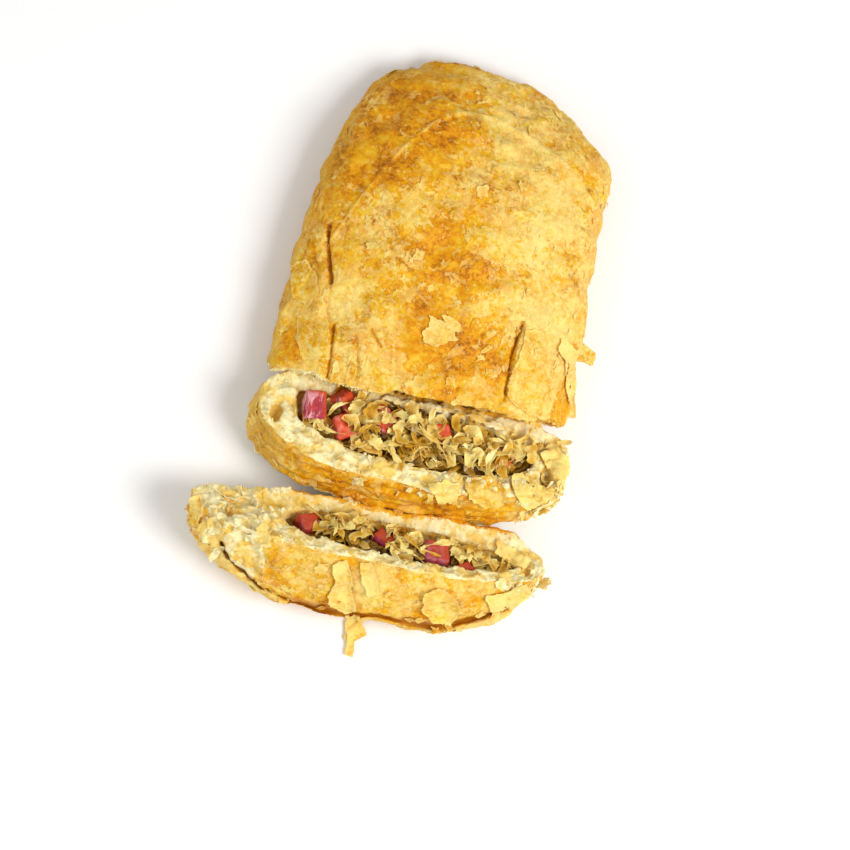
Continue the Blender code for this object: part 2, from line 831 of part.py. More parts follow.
def end_filling(crust, matrix):
    depth = END_LENGTH
    count = SLICE_POINTS // 4
    step = SLICE_POINTS // count
    sunk = END_SUNK / depth
    rows = []
    for share in (sunk, 0.25, 0.5, 0.62):
        points = ring(
            hollow_outline, SLICE_POINTS, at_depth(-share * depth), *end_hollow_sizes(share)
        )[::step]
        middle = sum(points, Vector()) / count
        rows.append([p + (middle - p).normalized() * 3 * GAP for p in points])
    back = Vector((0, 1, 0))
    rear_cap = cap_rings(rows[0], back, 0.0030, 6.0)

    def make(bm):
        skin(bm, list(reversed(rear_cap)) + rows)
        bm.transform(matrix)

    core = new_object("end_filling", make, "sauerkraut")
    turned = matrix.to_3x3()
    edge = [matrix @ p for p in rows[0]]
    shreds = shred_objects("end_shred", edge, turned @ back, 0.0030, 24, 19)
    frame = matrix @ face_frame(Vector((0, 0, 0)), back)
    hams = []
    for number, (x, z, turn, scale) in enumerate(END_HAM, 1):
        side = HAM_SIDE * scale
        on_face = frame.inverted() @ matrix @ Vector((x, -END_SUNK, z))
        hams.append(
            ham_cube(f"end_ham_{number}", on_face, frame, (side, side, side), turn)
        )
    finish_filling(core, shreds, hams, END_FILLING_FACETS)
    finish_crust(crust, hams, END_CRUST_FACETS)


def centre_on_origin():
    """Moves everything so that the origin lies under the middle of the whole."""
    things = [t for t in bpy.data.objects if t.type == "MESH"]
    points = [v.co for t in things for v in t.data.vertices]
    low = [min(p[i] for p in points) for i in range(3)]
    high = [max(p[i] for p in points) for i in range(3)]
    shift = Vector((-(low[0] + high[0]) / 2, -(low[1] + high[1]) / 2, -low[2]))
    print("moved by", [round(1000 * s, 2) for s in shift])
    for thing in things:
        thing.data.transform(Matrix.Translation(shift))


def main():
    clear_scene()
    loaf_filling(loaf_crust())
    slice_filling(*slice_crust())
    end_filling(*end_crust())
    centre_on_origin()


main()
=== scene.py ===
"""The looks of the partly cut sauerkraut strudel, laid out as a Blender add-on: baked puff pastry
with its broken top sheets and loose flakes, the torn dough of the cuts, sauerkraut shreds, ham
cubes, crumbs and a small studio. Metres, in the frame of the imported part."""

import itertools
import math
import random

import bmesh
import bpy
import numpy as np
from bpy.props import FloatProperty, FloatVectorProperty, IntProperty, PointerProperty
from mathutils import Matrix, Vector
from mathutils.bvhtree import BVHTree


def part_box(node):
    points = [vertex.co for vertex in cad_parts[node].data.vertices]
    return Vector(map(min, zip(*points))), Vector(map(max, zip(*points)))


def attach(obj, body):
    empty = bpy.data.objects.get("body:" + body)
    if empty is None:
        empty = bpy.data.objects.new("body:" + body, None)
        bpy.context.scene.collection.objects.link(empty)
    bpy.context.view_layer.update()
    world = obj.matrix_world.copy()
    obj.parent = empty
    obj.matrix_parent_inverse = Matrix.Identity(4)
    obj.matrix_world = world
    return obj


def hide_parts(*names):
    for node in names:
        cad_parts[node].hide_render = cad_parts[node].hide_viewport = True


bl_info = {
    "name": "Sauerkraut strudel",
    "version": (1, 0, 0),
    "blender": (4, 5, 0),
    "location": "View3D > Sidebar > Strudel",
    "description": "Dresses the sliced sauerkraut strudel with pastry, filling, ham and crumbs",
    "category": "Object",
}

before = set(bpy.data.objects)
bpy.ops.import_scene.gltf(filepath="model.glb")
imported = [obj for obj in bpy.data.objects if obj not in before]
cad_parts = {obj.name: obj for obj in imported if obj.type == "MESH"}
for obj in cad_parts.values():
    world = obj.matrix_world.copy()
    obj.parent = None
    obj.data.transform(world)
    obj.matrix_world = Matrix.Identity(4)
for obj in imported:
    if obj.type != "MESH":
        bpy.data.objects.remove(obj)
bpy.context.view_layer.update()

# The picture's side in pixels, and what that covers at the strudel in metres
PICTURE_PIXELS, PICTURE_WIDTH = 850, 0.452

# The part's places are given as its source gives them, and then moved by this much
SHIFT = np.array((0.00665, 0.01441, 0.0))

SLICE_YAW = math.radians(4.2)
SLICE_THICKNESS, SLICE_TIPPED, SLICE_PIVOT_Y = 0.030, math.radians(66), -0.0560
END_LENGTH, END_TIPPED, END_PIVOT_Y, END_SETTLED = 0.050, math.radians(42), -0.1435, 0.0075
LOAF_CUT_Y, CUT_SLANT = -0.0375, 0.08


def tipped(pivot_y, depth, lean, drop=0.0):
    """The place of a slice that stood upright, with its rear cut at y = 0, before it tipped."""
    return (
        Matrix.Translation((SHIFT[0], pivot_y + SHIFT[1], -drop))
        @ Matrix.Rotation(SLICE_YAW, 4, "Z")
        @ Matrix.Rotation(lean, 4, "X")
        @ Matrix.Translation((0, depth, 0))
    )


SLICE_MATRIX = tipped(SLICE_PIVOT_Y, SLICE_THICKNESS, SLICE_TIPPED)
END_MATRIX = tipped(END_PIVOT_Y, END_LENGTH, END_TIPPED, END_SETTLED)


def linear(red, green, blue):
    """An sRGB colour from 0 to 255 as linear values."""
    return tuple(
        c / 3294.6 if c <= 10.31 else ((c / 255 + 0.055) / 1.055) ** 2.4
        for c in (red, green, blue)
    )


def colour_property(name, description, value):
    return FloatVectorProperty(
        name=name, description=description, subtype="COLOR", size=3, min=0, max=1, default=value
    )


def length_property(name, description, value):
    return FloatProperty(
        name=name, description=description, unit="LENGTH", subtype="DISTANCE", min=0, default=value
    )


class StrudelPastrySettings(bpy.types.PropertyGroup):
    """Sizes and colours of the baked dough"""

    plate_size: length_property("Plate size", "Width of the broken plates of the top", 0.0105)
    plate_step: length_property("Plate step", "Height of one sheet of dough", 0.00028)
    crumb_size: length_property("Crumb size", "Width of the lumps in the cut dough", 0.0032)
    crumb_depth: length_property("Crumb depth", "Depth of the cut dough's relief", 0.0009)
    sheet_lift: length_property("Sheet lift", "How far a torn sheet stands off", 0.00026)
    flakes: IntProperty(name="Flakes", description="Loose flakes on the crusts", default=170)
    cream: colour_property("Cream", "Palest sheets", linear(251, 222, 132))
    straw: colour_property("Straw", "Pale sheets", linear(240, 194, 56))
    golden: colour_property("Golden", "Golden crust", linear(229, 166, 16))
    orange: colour_property("Orange", "Well baked crust", linear(216, 138, 6))
    # The darkest crust colour is also the painted shade of slits and grooves
    brown_and_shade: colour_property("Brown", "Darkest crust", linear(166, 96, 4))
    olive_and_shade: colour_property("Olive", "Shaded, less baked sides", linear(200, 148, 8))
    blush: colour_property("Blush", "Dull peach sheets", linear(240, 190, 104))
    dough: colour_property("Dough", "Crumb of the cut dough", linear(252, 240, 186))
    # The damp dough colour is also painted shade in the pits of the cut dough
    moist_and_shade: colour_property("Moist dough", "Soft layers and pits", linear(228, 188, 74))


class StrudelFillingSettings(bpy.types.PropertyGroup):
    """Sizes and colours of the filling"""

    shred_length: length_property("Shred length", "Length of a shred of cabbage", 0.017)
    shred_width: length_property("Shred width", "Width of a shred of cabbage", 0.0068)
    straw: colour_property("Straw", "Cooked cabbage", linear(230, 170, 44))
    pale: colour_property("Pale", "Thin or bright cabbage", linear(255, 228, 136))
    olive_and_shade: colour_property("Olive", "Cabbage in its own shade", linear(172, 122, 8))
    # The depth colour is painted shade in the gaps and on the lowest shreds
    depth: colour_property("Depth", "Gaps between the shreds", linear(46, 20, 2))
    lean: colour_property("Lean ham", "Cut lean of the ham", linear(172, 38, 72))
    rind: colour_property("Rind", "Smoked outside of the ham", linear(220, 86, 40))
    fat: colour_property("Fat", "Fat in the ham", linear(240, 186, 190))


class StrudelStageSettings(bpy.types.PropertyGroup):
    """Floor, light and camera"""

    floor: colour_property("Floor", "Plain floor", (0.94, 0.94, 0.94))
    key_power: FloatProperty(
        name="Key light", description="Power of the main light", unit="POWER", default=14.2
    )
    fill_power: FloatProperty(
        name="Fill light", description="Power of the fill light", unit="POWER", default=5
    )
    distance: length_property("Distance", "From the camera to the strudel", 1.6)
    width: length_property("Width", "What the picture's width covers", PICTURE_WIDTH)


# Numbers that repeat in every run


def scrambled(cell, seed):
    """A whole number for each lattice point."""
    x, y, z = (cell[:, i].astype(np.uint32) for i in range(3))
    h = x * np.uint32(0x8DA6B343) ^ y * np.uint32(0xD8163841) ^ z * np.uint32(0xCB1AB31F)
    h ^= np.uint32(seed * 0x9E3779B9 & 0xFFFFFFFF)
    for shift, factor in ((15, 0x2C1B3C6D), (12, 0x297A2D39), (15, 0x85EBCA6B)):
        h ^= h >> np.uint32(shift)
        h *= np.uint32(factor)
    return h ^ (h >> np.uint32(13))


def three_shares(h):
    """Three numbers from -1 to 1 out of each whole number."""
    return np.stack([(h >> np.uint32(s) & np.uint32(1023)) for s in (0, 10, 20)], 1) / 511.5 - 1


def noise(points, size, seed=0, octaves=1):
    """Smooth noise from -1 to 1, with bumps of that size."""
    total, weight, whole = 0.0, 1.0, 0.0
    for octave in range(octaves):
        q = points / size * 2**octave + seed * 7.31 + octave * 3.7
        cell = np.floor(q).astype(np.int64)
        f = q - cell
        s = f * f * f * (f * (f * 6 - 15) + 10)
        value = 0.0
        for corner in itertools.product((0, 1), repeat=3):
            gradient = three_shares(scrambled(cell + corner, seed + octave))
            share = np.prod(np.where(corner, s, 1 - s), axis=1)
            value = value + share * ((f - corner) * gradient).sum(1)
        total = total + weight * value
        whole += weight
        weight *= 0.55
    return np.clip(total / whole * 2.0, -1, 1)


def plates(points, size, seed):
    """The broken plate that each point lies in: how near its border is (0 on it), the plate's own
    number from 0 to 1, and the way from its centre."""
    q = points / size
    cell = np.floor(q).astype(np.int64)
    best = np.full(len(q), 9.0)
    second = best.copy()
    own = np.zeros(len(q))
    away = np.zeros_like(q)
    for offset in itertools.product((-1, 0, 1), repeat=3):
        h = scrambled(cell + offset, seed)
        way = q - (cell + offset + 0.5 + 0.42 * three_shares(h))
        far = np.sqrt((way**2).sum(1))
        closer = far < best
        second = np.where(closer, best, np.minimum(second, far))
        own = np.where(closer, (h >> np.uint32(9) & np.uint32(4095)) / 4095, own)
        away = np.where(closer[:, None], way, away)
        best = np.where(closer, far, best)
    return second - best, own, away


# The way from the strudel to the camera, and the picture's own right and up
LOOK = np.array((-0.14, -0.17, 1.0)) / np.linalg.norm((-0.14, -0.17, 1.0))
ACROSS = np.array((0.965, 0.262, 0.1796))
ACROSS = ACROSS - ACROSS @ LOOK * LOOK
ACROSS /= np.linalg.norm(ACROSS)
UPWARD = np.cross(LOOK, ACROSS)
AIM = np.array((0.01735, -0.03509, 0.0))  # the point that the picture is centred on
GRAIN = PICTURE_WIDTH / PICTURE_PIXELS  # metres for each pixel of the picture
MIDDLE = PICTURE_PIXELS / 2


def seen(points):
    """Where points appear from the camera, in pixels of the photograph's frame."""
    away = points - AIM
    return np.stack((MIDDLE + away @ ACROSS / GRAIN, MIDDLE - away @ UPWARD / GRAIN), 1)


def unseen(pixels):
    """Points in the plane through AIM that appear at those pixels."""
    right, down = np.asarray(pixels, float).T - MIDDLE
    return AIM + np.outer(right * GRAIN, ACROSS) - np.outer(down * GRAIN, UPWARD)


def from_line(pixels, line):
    """How far each pixel place is from a drawn line, in pixels."""
    best = np.full(len(pixels), 1e9)
    for (ax, ay), (bx, by) in zip(line, line[1:]):
        way = np.array((bx - ax, by - ay), float)
        off = pixels - (ax, ay)
        t = np.clip(off @ way / (way @ way), 0, 1)
        best = np.minimum(best, np.linalg.norm(off - t[:, None] * way, axis=1))
    return best


def inside(pixels, outline):
    """How deep each pixel place lies in a closed outline, in pixels, below zero outside."""
    x, y = pixels.T
    within = np.zeros(len(x), bool)
    for (ax, ay), (bx, by) in zip(outline, outline[1:] + outline[:1]):
        if ay != by:
            crosses = (ay > y) != (by > y)
            within ^= crosses & (x < (bx - ax) * (y - ay) / (by - ay) + ax)
    far = from_line(pixels, outline + outline[:1])
    return np.where(within, far, -far)


def ease(low, high, value):
    """A smooth step from 0 at `low` to 1 at `high`, which may be the smaller one."""
    t = np.clip((value - low) / (high - low), 0, 1)
    return t * t * (3 - 2 * t)


# Modelling helpers

LEAST_HEIGHT = 0.0002  # of loose bits over the ground, in metres
WELD_DISTANCE = 1e-6  # metres
CRISP_ANGLE = math.radians(50)  # edges sharper than this stay crisp on thin pieces


def only(obj):
    """Leaves this object alone selected and active."""
    bpy.ops.object.select_all(action="DESELECT")
    obj.select_set(True)
    bpy.context.view_layer.objects.active = obj


def apply_modifier(obj, kind, **settings):
    only(obj)
    bpy.ops.object.modifier_add(type=kind)
    modifier = obj.modifiers[-1]
    for name, value in settings.items():
        setattr(modifier, name, value)
    bpy.ops.object.modifier_apply(modifier=modifier.name)


def grid(name, columns, rows):
    """A flat grid a unit wide, to be shaped."""
    bpy.ops.object.select_all(action="DESELECT")
    bpy.ops.mesh.primitive_grid_add(x_subdivisions=columns, y_subdivisions=rows, size=1)
    bpy.context.active_object.name = name
    return bpy.context.active_object


def ball(name, radius):
    """A round ball with few faces, to be shaped."""
    bpy.ops.object.select_all(action="DESELECT")
    bpy.ops.mesh.primitive_ico_sphere_add(subdivisions=2, radius=radius)
    bpy.context.active_object.name = name
    return bpy.context.active_object


def points_of(obj):
    flat = np.empty(len(obj.data.vertices) * 3, np.float32)
    obj.data.vertices.foreach_get("co", flat)
    return flat.reshape(-1, 3).astype(float)


def set_points(obj, points):
    obj.data.vertices.foreach_set("co", points.astype(np.float32).ravel())
    obj.data.update()


def set_off_ground(obj, points):
    """Sets the points with none of them in the ground."""
    points[:, 2] = np.maximum(points[:, 2], LEAST_HEIGHT)
    set_points(obj, points)


def normals_of(obj):
    flat = np.empty(len(obj.data.vertices) * 3, np.float32)
    obj.data.vertex_normals.foreach_get("vector", flat)
    return flat.reshape(-1, 3).astype(float)


def store(obj, name, values):
    """Keeps a number for each point, for the materials to read."""
    attribute = obj.data.attributes.get(name) or obj.data.attributes.new(name, "FLOAT", "POINT")
    attribute.data.foreach_set("value", np.asarray(values, np.float32).ravel())


def read(obj, name):
    values = np.empty(len(obj.data.vertices), np.float32)
    obj.data.attributes[name].data.foreach_get("value", values)
    return values.astype(float)


def new_object(name, vertices, faces):
    mesh = bpy.data.meshes.new(name)
    mesh.from_pydata(vertices, [], faces)
    obj = bpy.data.objects.new(name, mesh)
    bpy.context.scene.collection.objects.link(obj)
    return obj


def welded_copy(name, *nodes):
    """Copies of CAD solids as one mesh, with their loose triangles joined."""
    vertices, faces = [], []
    for node in nodes:
        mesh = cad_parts[node].data
        start = len(vertices)
        vertices += [tuple(v.co) for v in mesh.vertices]
        faces += [tuple(start + i for i in p.vertices) for p in mesh.polygons]
    obj = new_object(name, vertices, faces)
    only(obj)
    bpy.ops.object.mode_set(mode="EDIT")
    bpy.ops.mesh.select_all(action="SELECT")
    bpy.ops.mesh.remove_doubles(threshold=WELD_DISTANCE)
    bpy.ops.object.mode_set(mode="OBJECT")
    return obj


def fine_skin(obj, voxel, rounds):
    """Gives the mesh an even, fine grid and rounds off its facets."""
    apply_modifier(obj, "REMESH", mode="VOXEL", voxel_size=voxel)
    apply_modifier(obj, "SMOOTH", factor=0.6, iterations=rounds)


def tree_of(obj):
    return BVHTree.FromPolygons(
        [v.co for v in obj.data.vertices], [tuple(p.vertices) for p in obj.data.polygons]
    )


def distances(points, tree):
    """How far each point is from the surface that the tree holds."""
    return np.array([tree.find_nearest(p)[3] for p in points.tolist()])


def moved_by(points, matrix):
    """Points as a 4x4 matrix moves them."""
    m = np.array(matrix)
    return points @ m[:3, :3].T + m[:3, 3]


def upright(points, matrix):
    """Points in the place that the slice had before it tipped."""
    return moved_by(points, matrix.inverted())


def upright_normals(normals, matrix):
    return normals @ np.array(matrix)[:3, :3]


def crust_of(part):
    """The pastry of the loaf, the slice or the end piece, with its points and normals."""
    crust = bpy.data.objects[f"{part}_pastry"]
    return crust, points_of(crust), normals_of(crust)


def finish(obj, material, slot, *nodes, thin=False):
    """The last steps for every piece of the strudel. Thin pieces keep crisp rims."""
    obj.data.materials.clear()
    obj.data.materials.append(material)
    only(obj)
    if thin:
        bpy.ops.object.shade_smooth_by_angle(angle=CRISP_ANGLE)
    else:
        bpy.ops.object.shade_smooth()
    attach(obj, "root")
    if nodes:
        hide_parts(*nodes)


# Materials


def add(tree, kind, values=None, **settings):
    """Adds a node. A value that is a socket is linked, and any other is set."""
    node = tree.nodes.new(kind)
    for name, value in settings.items():
        setattr(node, name, value)
    for key, value in (values or {}).items():
        if isinstance(value, bpy.types.NodeSocket):
            tree.links.new(value, node.inputs[key])
        else:
            node.inputs[key].default_value = value
    return node


def sums(tree, operation, first, second=0.0, clamp=False):
    return add(
        tree, "ShaderNodeMath", {0: first, 1: second}, operation=operation, use_clamp=clamp
    ).outputs[0]


def remap(tree, value, low, high, out_low=0.0, out_high=1.0):
    return add(
        tree,
        "ShaderNodeMapRange",
        {"Value": value, "From Min": low, "From Max": high, "To Min": out_low, "To Max": out_high},
        interpolation_type="SMOOTHSTEP",
    ).outputs[0]


def blend(tree, share, first, second):
    """A colour between two, each a socket or the value of a colour."""

    def rgba(c):
        return c if isinstance(c, bpy.types.NodeSocket) else (*c[:3], 1)

    return add(
        tree, "ShaderNodeMix", {0: share, 6: rgba(first), 7: rgba(second)}, data_type="RGBA"
    ).outputs[2]


def attribute(tree, name):
    return add(tree, "ShaderNodeAttribute", attribute_name=name).outputs["Fac"]


def place(tree):
    return add(tree, "ShaderNodeTexCoord").outputs["Object"]


def clouds(tree, vector, size, detail=3.0, distortion=0.0, rough=0.55):
    """Noise from 0 to 1 with bumps of that size in metres."""
    return add(
        tree,
        "ShaderNodeTexNoise",
        {
            "Vector": vector,
            "Scale": 1 / size,
            "Detail": detail,
            "Roughness": rough,
            "Distortion": distortion,
        },
    ).outputs[0]


def drawn_out(tree, vector, rotation, scale):
    """The vector turned and scaled, for a pattern that runs one way."""
    return add(
        tree, "ShaderNodeMapping", {"Vector": vector, "Rotation": rotation, "Scale": scale}
    ).outputs[0]


def ramp(tree, value, stops):
    node = add(tree, "ShaderNodeValToRGB", {0: value})
    elements = node.color_ramp.elements
    while len(elements) < len(stops):
        elements.new(0.5)
    for element, (position, colour) in zip(elements, stops):
        element.position = position
        element.color = (*colour[:3], 1)
    return node.outputs[0]


def new_group(name, inputs, outputs):
    """An empty shader group. Inputs are (name, kind, default), outputs (name, kind)."""
    group = bpy.data.node_groups.new(name, "ShaderNodeTree")
    for label, kind, default in inputs:
        socket = group.interface.new_socket(label, in_out="INPUT", socket_type="NodeSocket" + kind)
        if default is not None:
            socket.default_value = default
    for label, kind in outputs:
        group.interface.new_socket(label, in_out="OUTPUT", socket_type="NodeSocket" + kind)
    start = group.nodes.new("NodeGroupInput")
    end = group.nodes.new("NodeGroupOutput")
    return group, start.outputs, end


def use_group(tree, group, values):
    return add(tree, "ShaderNodeGroup", values, node_tree=group).outputs


def torn_layers_group():
    """Jagged patches of broken sheets in three sizes, and thin lines along some of their edges."""
    found = bpy.data.node_groups.get("Torn layers")
    if found:
        return found
    group, given, end = new_group(
        "Torn layers",
        [("Vector", "Vector", None), ("Size", "Float", 0.015), ("Cover", "Float", 0.0)],
        [("Large", "Float"), ("Small", "Float"), ("Blisters", "Float"), ("Line", "Float")],
    )
    scale = sums(group, "DIVIDE", 1.0, given["Size"])
    for label, times, detail, level, width in (
        ("Large", 1.0, 7.0, 0.505, 0.016),
        ("Small", 2.3, 6.0, 0.520, 0.02),
        ("Blisters", 5.0, 4.0, 0.555, 0.03),
    ):
        moved = add(
            group,
            "ShaderNodeMapping",
            {"Vector": given["Vector"], "Location": (times, 2 * times, 3 * times)},
        ).outputs[0]
        field = add(
            group,
            "ShaderNodeTexNoise",
            {
                "Vector": moved,
                "Scale": sums(group, "MULTIPLY", scale, times),
                "Detail": detail,
                "Roughness": 0.64,
                "Distortion": 0.35,
            },
        ).outputs[0]
        field = sums(group, "ADD", field, given["Cover"])
        group.links.new(remap(group, field, level, level + width), end.inputs[label])
        if label == "Large":
            off = sums(group, "ABSOLUTE", sums(group, "SUBTRACT", field, level))
            group.links.new(remap(group, off, 0.0, 0.010, 1.0, 0.0), end.inputs["Line"])
    return group


def grain_group():
    """Fine baked grain: a height for the bump and a mottling mask."""
    found = bpy.data.node_groups.get("Baked grain")
    if found:
        return found
    group, given, end = new_group(
        "Baked grain",
        [("Vector", "Vector", None), ("Size", "Float", 0.002)],
        [("Height", "Float"), ("Mottle", "Float")],
    )
    scale = sums(group, "DIVIDE", 1.0, given["Size"])
    fine = add(
        group,
        "ShaderNodeTexNoise",
        {
            "Vector": given["Vector"],
            "Scale": scale,
            "Detail": 5.0,
            "Roughness": 0.62,
            "Distortion": 0.6,
        },
    ).outputs[0]
    coarse = sums(group, "MULTIPLY", scale, 0.8)
    lumps = add(
        group, "ShaderNodeTexVoronoi", {"Vector": given["Vector"], "Scale": coarse}
    ).outputs["Distance"]
    group.links.new(
        sums(group, "SUBTRACT", fine, sums(group, "MULTIPLY", lumps, 0.35)), end.inputs["Height"]
    )
    group.links.new(remap(group, fine, 0.36, 0.66), end.inputs["Mottle"])
    return group


def new_material(name):
    """A material with nothing but its shader: (material, tree, shader)."""
    material = bpy.data.materials.new(name)
    material.use_nodes = True
    tree = material.node_tree
    tree.nodes.clear()
    shader = tree.nodes.new("ShaderNodeBsdfPrincipled")
    output = tree.nodes.new("ShaderNodeOutputMaterial")
    tree.links.new(shader.outputs[0], output.inputs["Surface"])
    return material, tree, shader


def connect(tree, shader, colour, roughness, height, distance, strength):
    """Gives the shader its colour, its roughness and a bump of that height in metres."""
    bump = add(
        tree, "ShaderNodeBump", {"Height": height, "Distance": distance, "Strength": strength}
    )
    tree.links.new(colour, shader.inputs["Base Color"])
    tree.links.new(roughness, shader.inputs["Roughness"])
    tree.links.new(bump.outputs[0], shader.inputs["Normal"])


def baked_top(tree, settings, vector, size, brown_and_shade, cover):
    """Colour and height of the baked top: golden dough under pale broken sheets and blisters."""
    grain = use_group(tree, grain_group(), {"Vector": vector, "Size": 0.0022})
    torn = use_group(
        tree, torn_layers_group(), {"Vector": vector, "Size": size, "Cover": cover}
    )
    tone = sums(
        tree, "ADD", brown_and_shade, remap(tree, clouds(tree, vector, 0.020, 4.0), 0.3, 0.7, -0.16, 0.14)
    )
    patches = remap(tree, clouds(tree, vector, 0.006, 5.0, 0.3), 0.35, 0.65, -0.15, 0.12)
    tone = sums(tree, "ADD", tone, patches)
    tone = sums(tree, "ADD", tone, remap(tree, grain["Mottle"], 0.0, 1.0, -0.14, 0.14), True)
    colour = ramp(
        tree,
        tone,
        (
            (0.00, settings.cream),
            (0.22, settings.straw),
            (0.48, settings.golden),
            (0.74, settings.orange),
            (1.00, settings.brown_and_shade),
        ),
    )
    pale = blend(
        tree,
        remap(tree, clouds(tree, vector, 0.016, 3.0), 0.46, 0.56),
        settings.cream,
        settings.blush,
    )
    colour = blend(tree, sums(tree, "MULTIPLY", torn["Large"], 0.34), colour, pale)
    colour = blend(tree, sums(tree, "MULTIPLY", torn["Small"], 0.46), colour, pale)
    colour = blend(tree, sums(tree, "MULTIPLY", torn["Blisters"], 0.55), colour, settings.cream)
    height = sums(tree, "ADD", grain["Height"], sums(tree, "MULTIPLY", torn["Large"], 0.35))
    height = sums(tree, "ADD", height, sums(tree, "MULTIPLY", torn["Small"], 0.30))
    height = sums(tree, "ADD", height, sums(tree, "MULTIPLY", torn["Blisters"], 0.25))
    return colour, height, torn, grain


def baked_finish(shader):
    """Dry, only slightly shiny dough that lets a little light in."""
    shader.inputs["Specular IOR Level"].default_value = 0.16
    shader.inputs["Subsurface Weight"].default_value = 0.12
    shader.inputs["Subsurface Radius"].default_value = (1.0, 0.6, 0.2)
    shader.inputs["Subsurface Scale"].default_value = 0.002
    shader.inputs["Coat Weight"].default_value = 0.03
    shader.inputs["Coat Roughness"].default_value = 0.35


def pastry_material(settings):
    """Baked puff pastry. Reads from the mesh the browned tone with painted light and shade in it,
    the greenish colour of less baked sides with painted shade, streak, gap, which is painted shade
    in slits and grooves, cut, and near, the damp dough near the filling that is also painted shade
    in the crumb's pits.
    """
    material, tree, shader = new_material("Puff pastry")
    vector = place(tree)
    brown_and_shade, olive_and_shade = attribute(tree, "browning_light_and_shade"), attribute(tree, "olive_and_shade")
    cut, near = attribute(tree, "cut"), attribute(tree, "near")
    cover = remap(tree, brown_and_shade, 0.1, 0.9, 0.11, -0.11)
    crust, height, torn, grain = baked_top(tree, settings, vector, 0.015, brown_and_shade, cover)
    fibres = clouds(tree, drawn_out(tree, vector, (0, 0, 0.1), (1, 0.13, 1)), 0.0022, 4.0, 0.4)
    fibres = sums(tree, "MULTIPLY", remap(tree, fibres, 0.46, 0.60), attribute(tree, "streak"))
    crust = blend(tree, sums(tree, "MULTIPLY", fibres, 0.6), crust, settings.cream)
    height = sums(tree, "ADD", height, fibres)
    # The greenish colour of less baked sides, with painted shade in it
    crust = blend(tree, sums(tree, "MULTIPLY", olive_and_shade, 0.6), crust, settings.olive_and_shade)
    cracks = sums(
        tree, "MULTIPLY", torn["Line"], remap(tree, clouds(tree, vector, 0.02, 2.0), 0.50, 0.6)
    )
    crust = blend(tree, sums(tree, "MULTIPLY", cracks, 0.5), crust, settings.brown_and_shade)
    crumb = clouds(tree, vector, 0.0050, 4.0, 0.5, 0.55)
    # Damp dough near the filling, and painted shade in the crumb's pits
    wet_and_shade = sums(tree, "MULTIPLY", near, 0.65)
    wet_and_shade = sums(tree, "ADD", wet_and_shade, remap(tree, crumb, 0.42, 0.66, -0.25, 0.36), True)
    dough = blend(tree, wet_and_shade, settings.dough, settings.moist_and_shade)
    gold = remap(tree, clouds(tree, vector, 0.011, 4.0), 0.50, 0.60, 0.0, 0.7)
    dough = blend(tree, gold, dough, settings.straw)
    edge = sums(tree, "ADD", cut, remap(tree, grain["Mottle"], 0.0, 1.0, -0.22, 0.22))
    colour = blend(tree, remap(tree, edge, 0.38, 0.62), crust, dough)
    # Painted shade: the loaf's slits and the end piece's grooves get the darkest crust colour
    gap = attribute(tree, "gap")
    colour = blend(tree, gap, colour, settings.brown_and_shade)
    height = sums(tree, "SUBTRACT", height, sums(tree, "MULTIPLY", cracks, 0.5))
    rough = remap(tree, grain["Mottle"], 0.0, 1.0, 0.5, 0.7)
    connect(tree, shader, colour, rough, height, 0.0006, 0.7)
    baked_finish(shader)
    return material


def flake_material(settings):
    """Thin broken sheets of the top, paler along their torn rims. Reads the browned tone with
    painted light and shade in it, the greenish colour with painted shade, and rim from the mesh."""
    material, tree, shader = new_material("Broken pastry sheets")
    vector = place(tree)
    rim, olive_and_shade = attribute(tree, "rim"), attribute(tree, "olive_and_shade")
    tone = sums(tree, "SUBTRACT", attribute(tree, "browning_light_and_shade"), sums(tree, "MULTIPLY", rim, 0.12))
    cover = remap(tree, tone, 0.1, 0.9, 0.08, -0.11)
    cover = sums(tree, "ADD", cover, sums(tree, "MULTIPLY", rim, 0.06))
    crust, height, _, grain = baked_top(tree, settings, vector, 0.011, tone, cover)
    # The greenish colour of less baked sides, with painted shade in it
    crust = blend(tree, sums(tree, "MULTIPLY", olive_and_shade, 0.5), crust, settings.olive_and_shade)
    rough = remap(tree, grain["Mottle"], 0.0, 1.0, 0.48, 0.68)
    connect(tree, shader, crust, rough, height, 0.0006, 0.5)
    baked_finish(shader)
    return material


def cabbage_material(settings):
    """Wet, half clear cabbage. Reads from the mesh tint, with painted shade of lower shreds in it,
    deep, the painted shade of lower shreds and of the gaps, and rim, the long edges that are
    painted paler: thin cabbage, and painted highlight.
    """
    material, tree, shader = new_material("Sauerkraut")
    vector = place(tree)
    tint, deep = attribute(tree, "tint"), attribute(tree, "deep")
    veins = clouds(tree, vector, 0.0016, 3.0, 1.2)
    blotch = clouds(tree, vector, 0.006, 2.0)
    tone = sums(tree, "ADD", tint, remap(tree, blotch, 0.3, 0.7, -0.22, 0.22))
    # Paler long edges: thin cabbage, and painted highlight
    tone = sums(tree, "ADD", tone, sums(tree, "MULTIPLY", attribute(tree, "rim"), 0.34))
    tone = sums(tree, "ADD", tone, remap(tree, veins, 0.3, 0.7, -0.12, 0.12), True)
    colour = ramp(
        tree, tone, ((0.0, settings.olive_and_shade), (0.5, settings.straw), (1.0, settings.pale))
    )
    # Painted shade: deep shreds and the core take the dark depth colour
    colour = blend(tree, deep, colour, settings.depth)
    rough = remap(tree, veins, 0.3, 0.7, 0.3, 0.5)
    connect(tree, shader, colour, rough, veins, 0.0004, 0.4)
    shader.inputs["Specular IOR Level"].default_value = 0.3
    shader.inputs["Subsurface Weight"].default_value = 0.35
    shader.inputs["Subsurface Radius"].default_value = (1.0, 0.8, 0.3)
    shader.inputs["Subsurface Scale"].default_value = 0.0015
    shader.inputs["Coat Weight"].default_value = 0.35
    shader.inputs["Coat Roughness"].default_value = 0.16
    return material


HAM_GRAIN = linear(132, 24, 62)  # dark fibres of the lean
HAM_SHADE = linear(120, 16, 30)  # cubes that lie deep


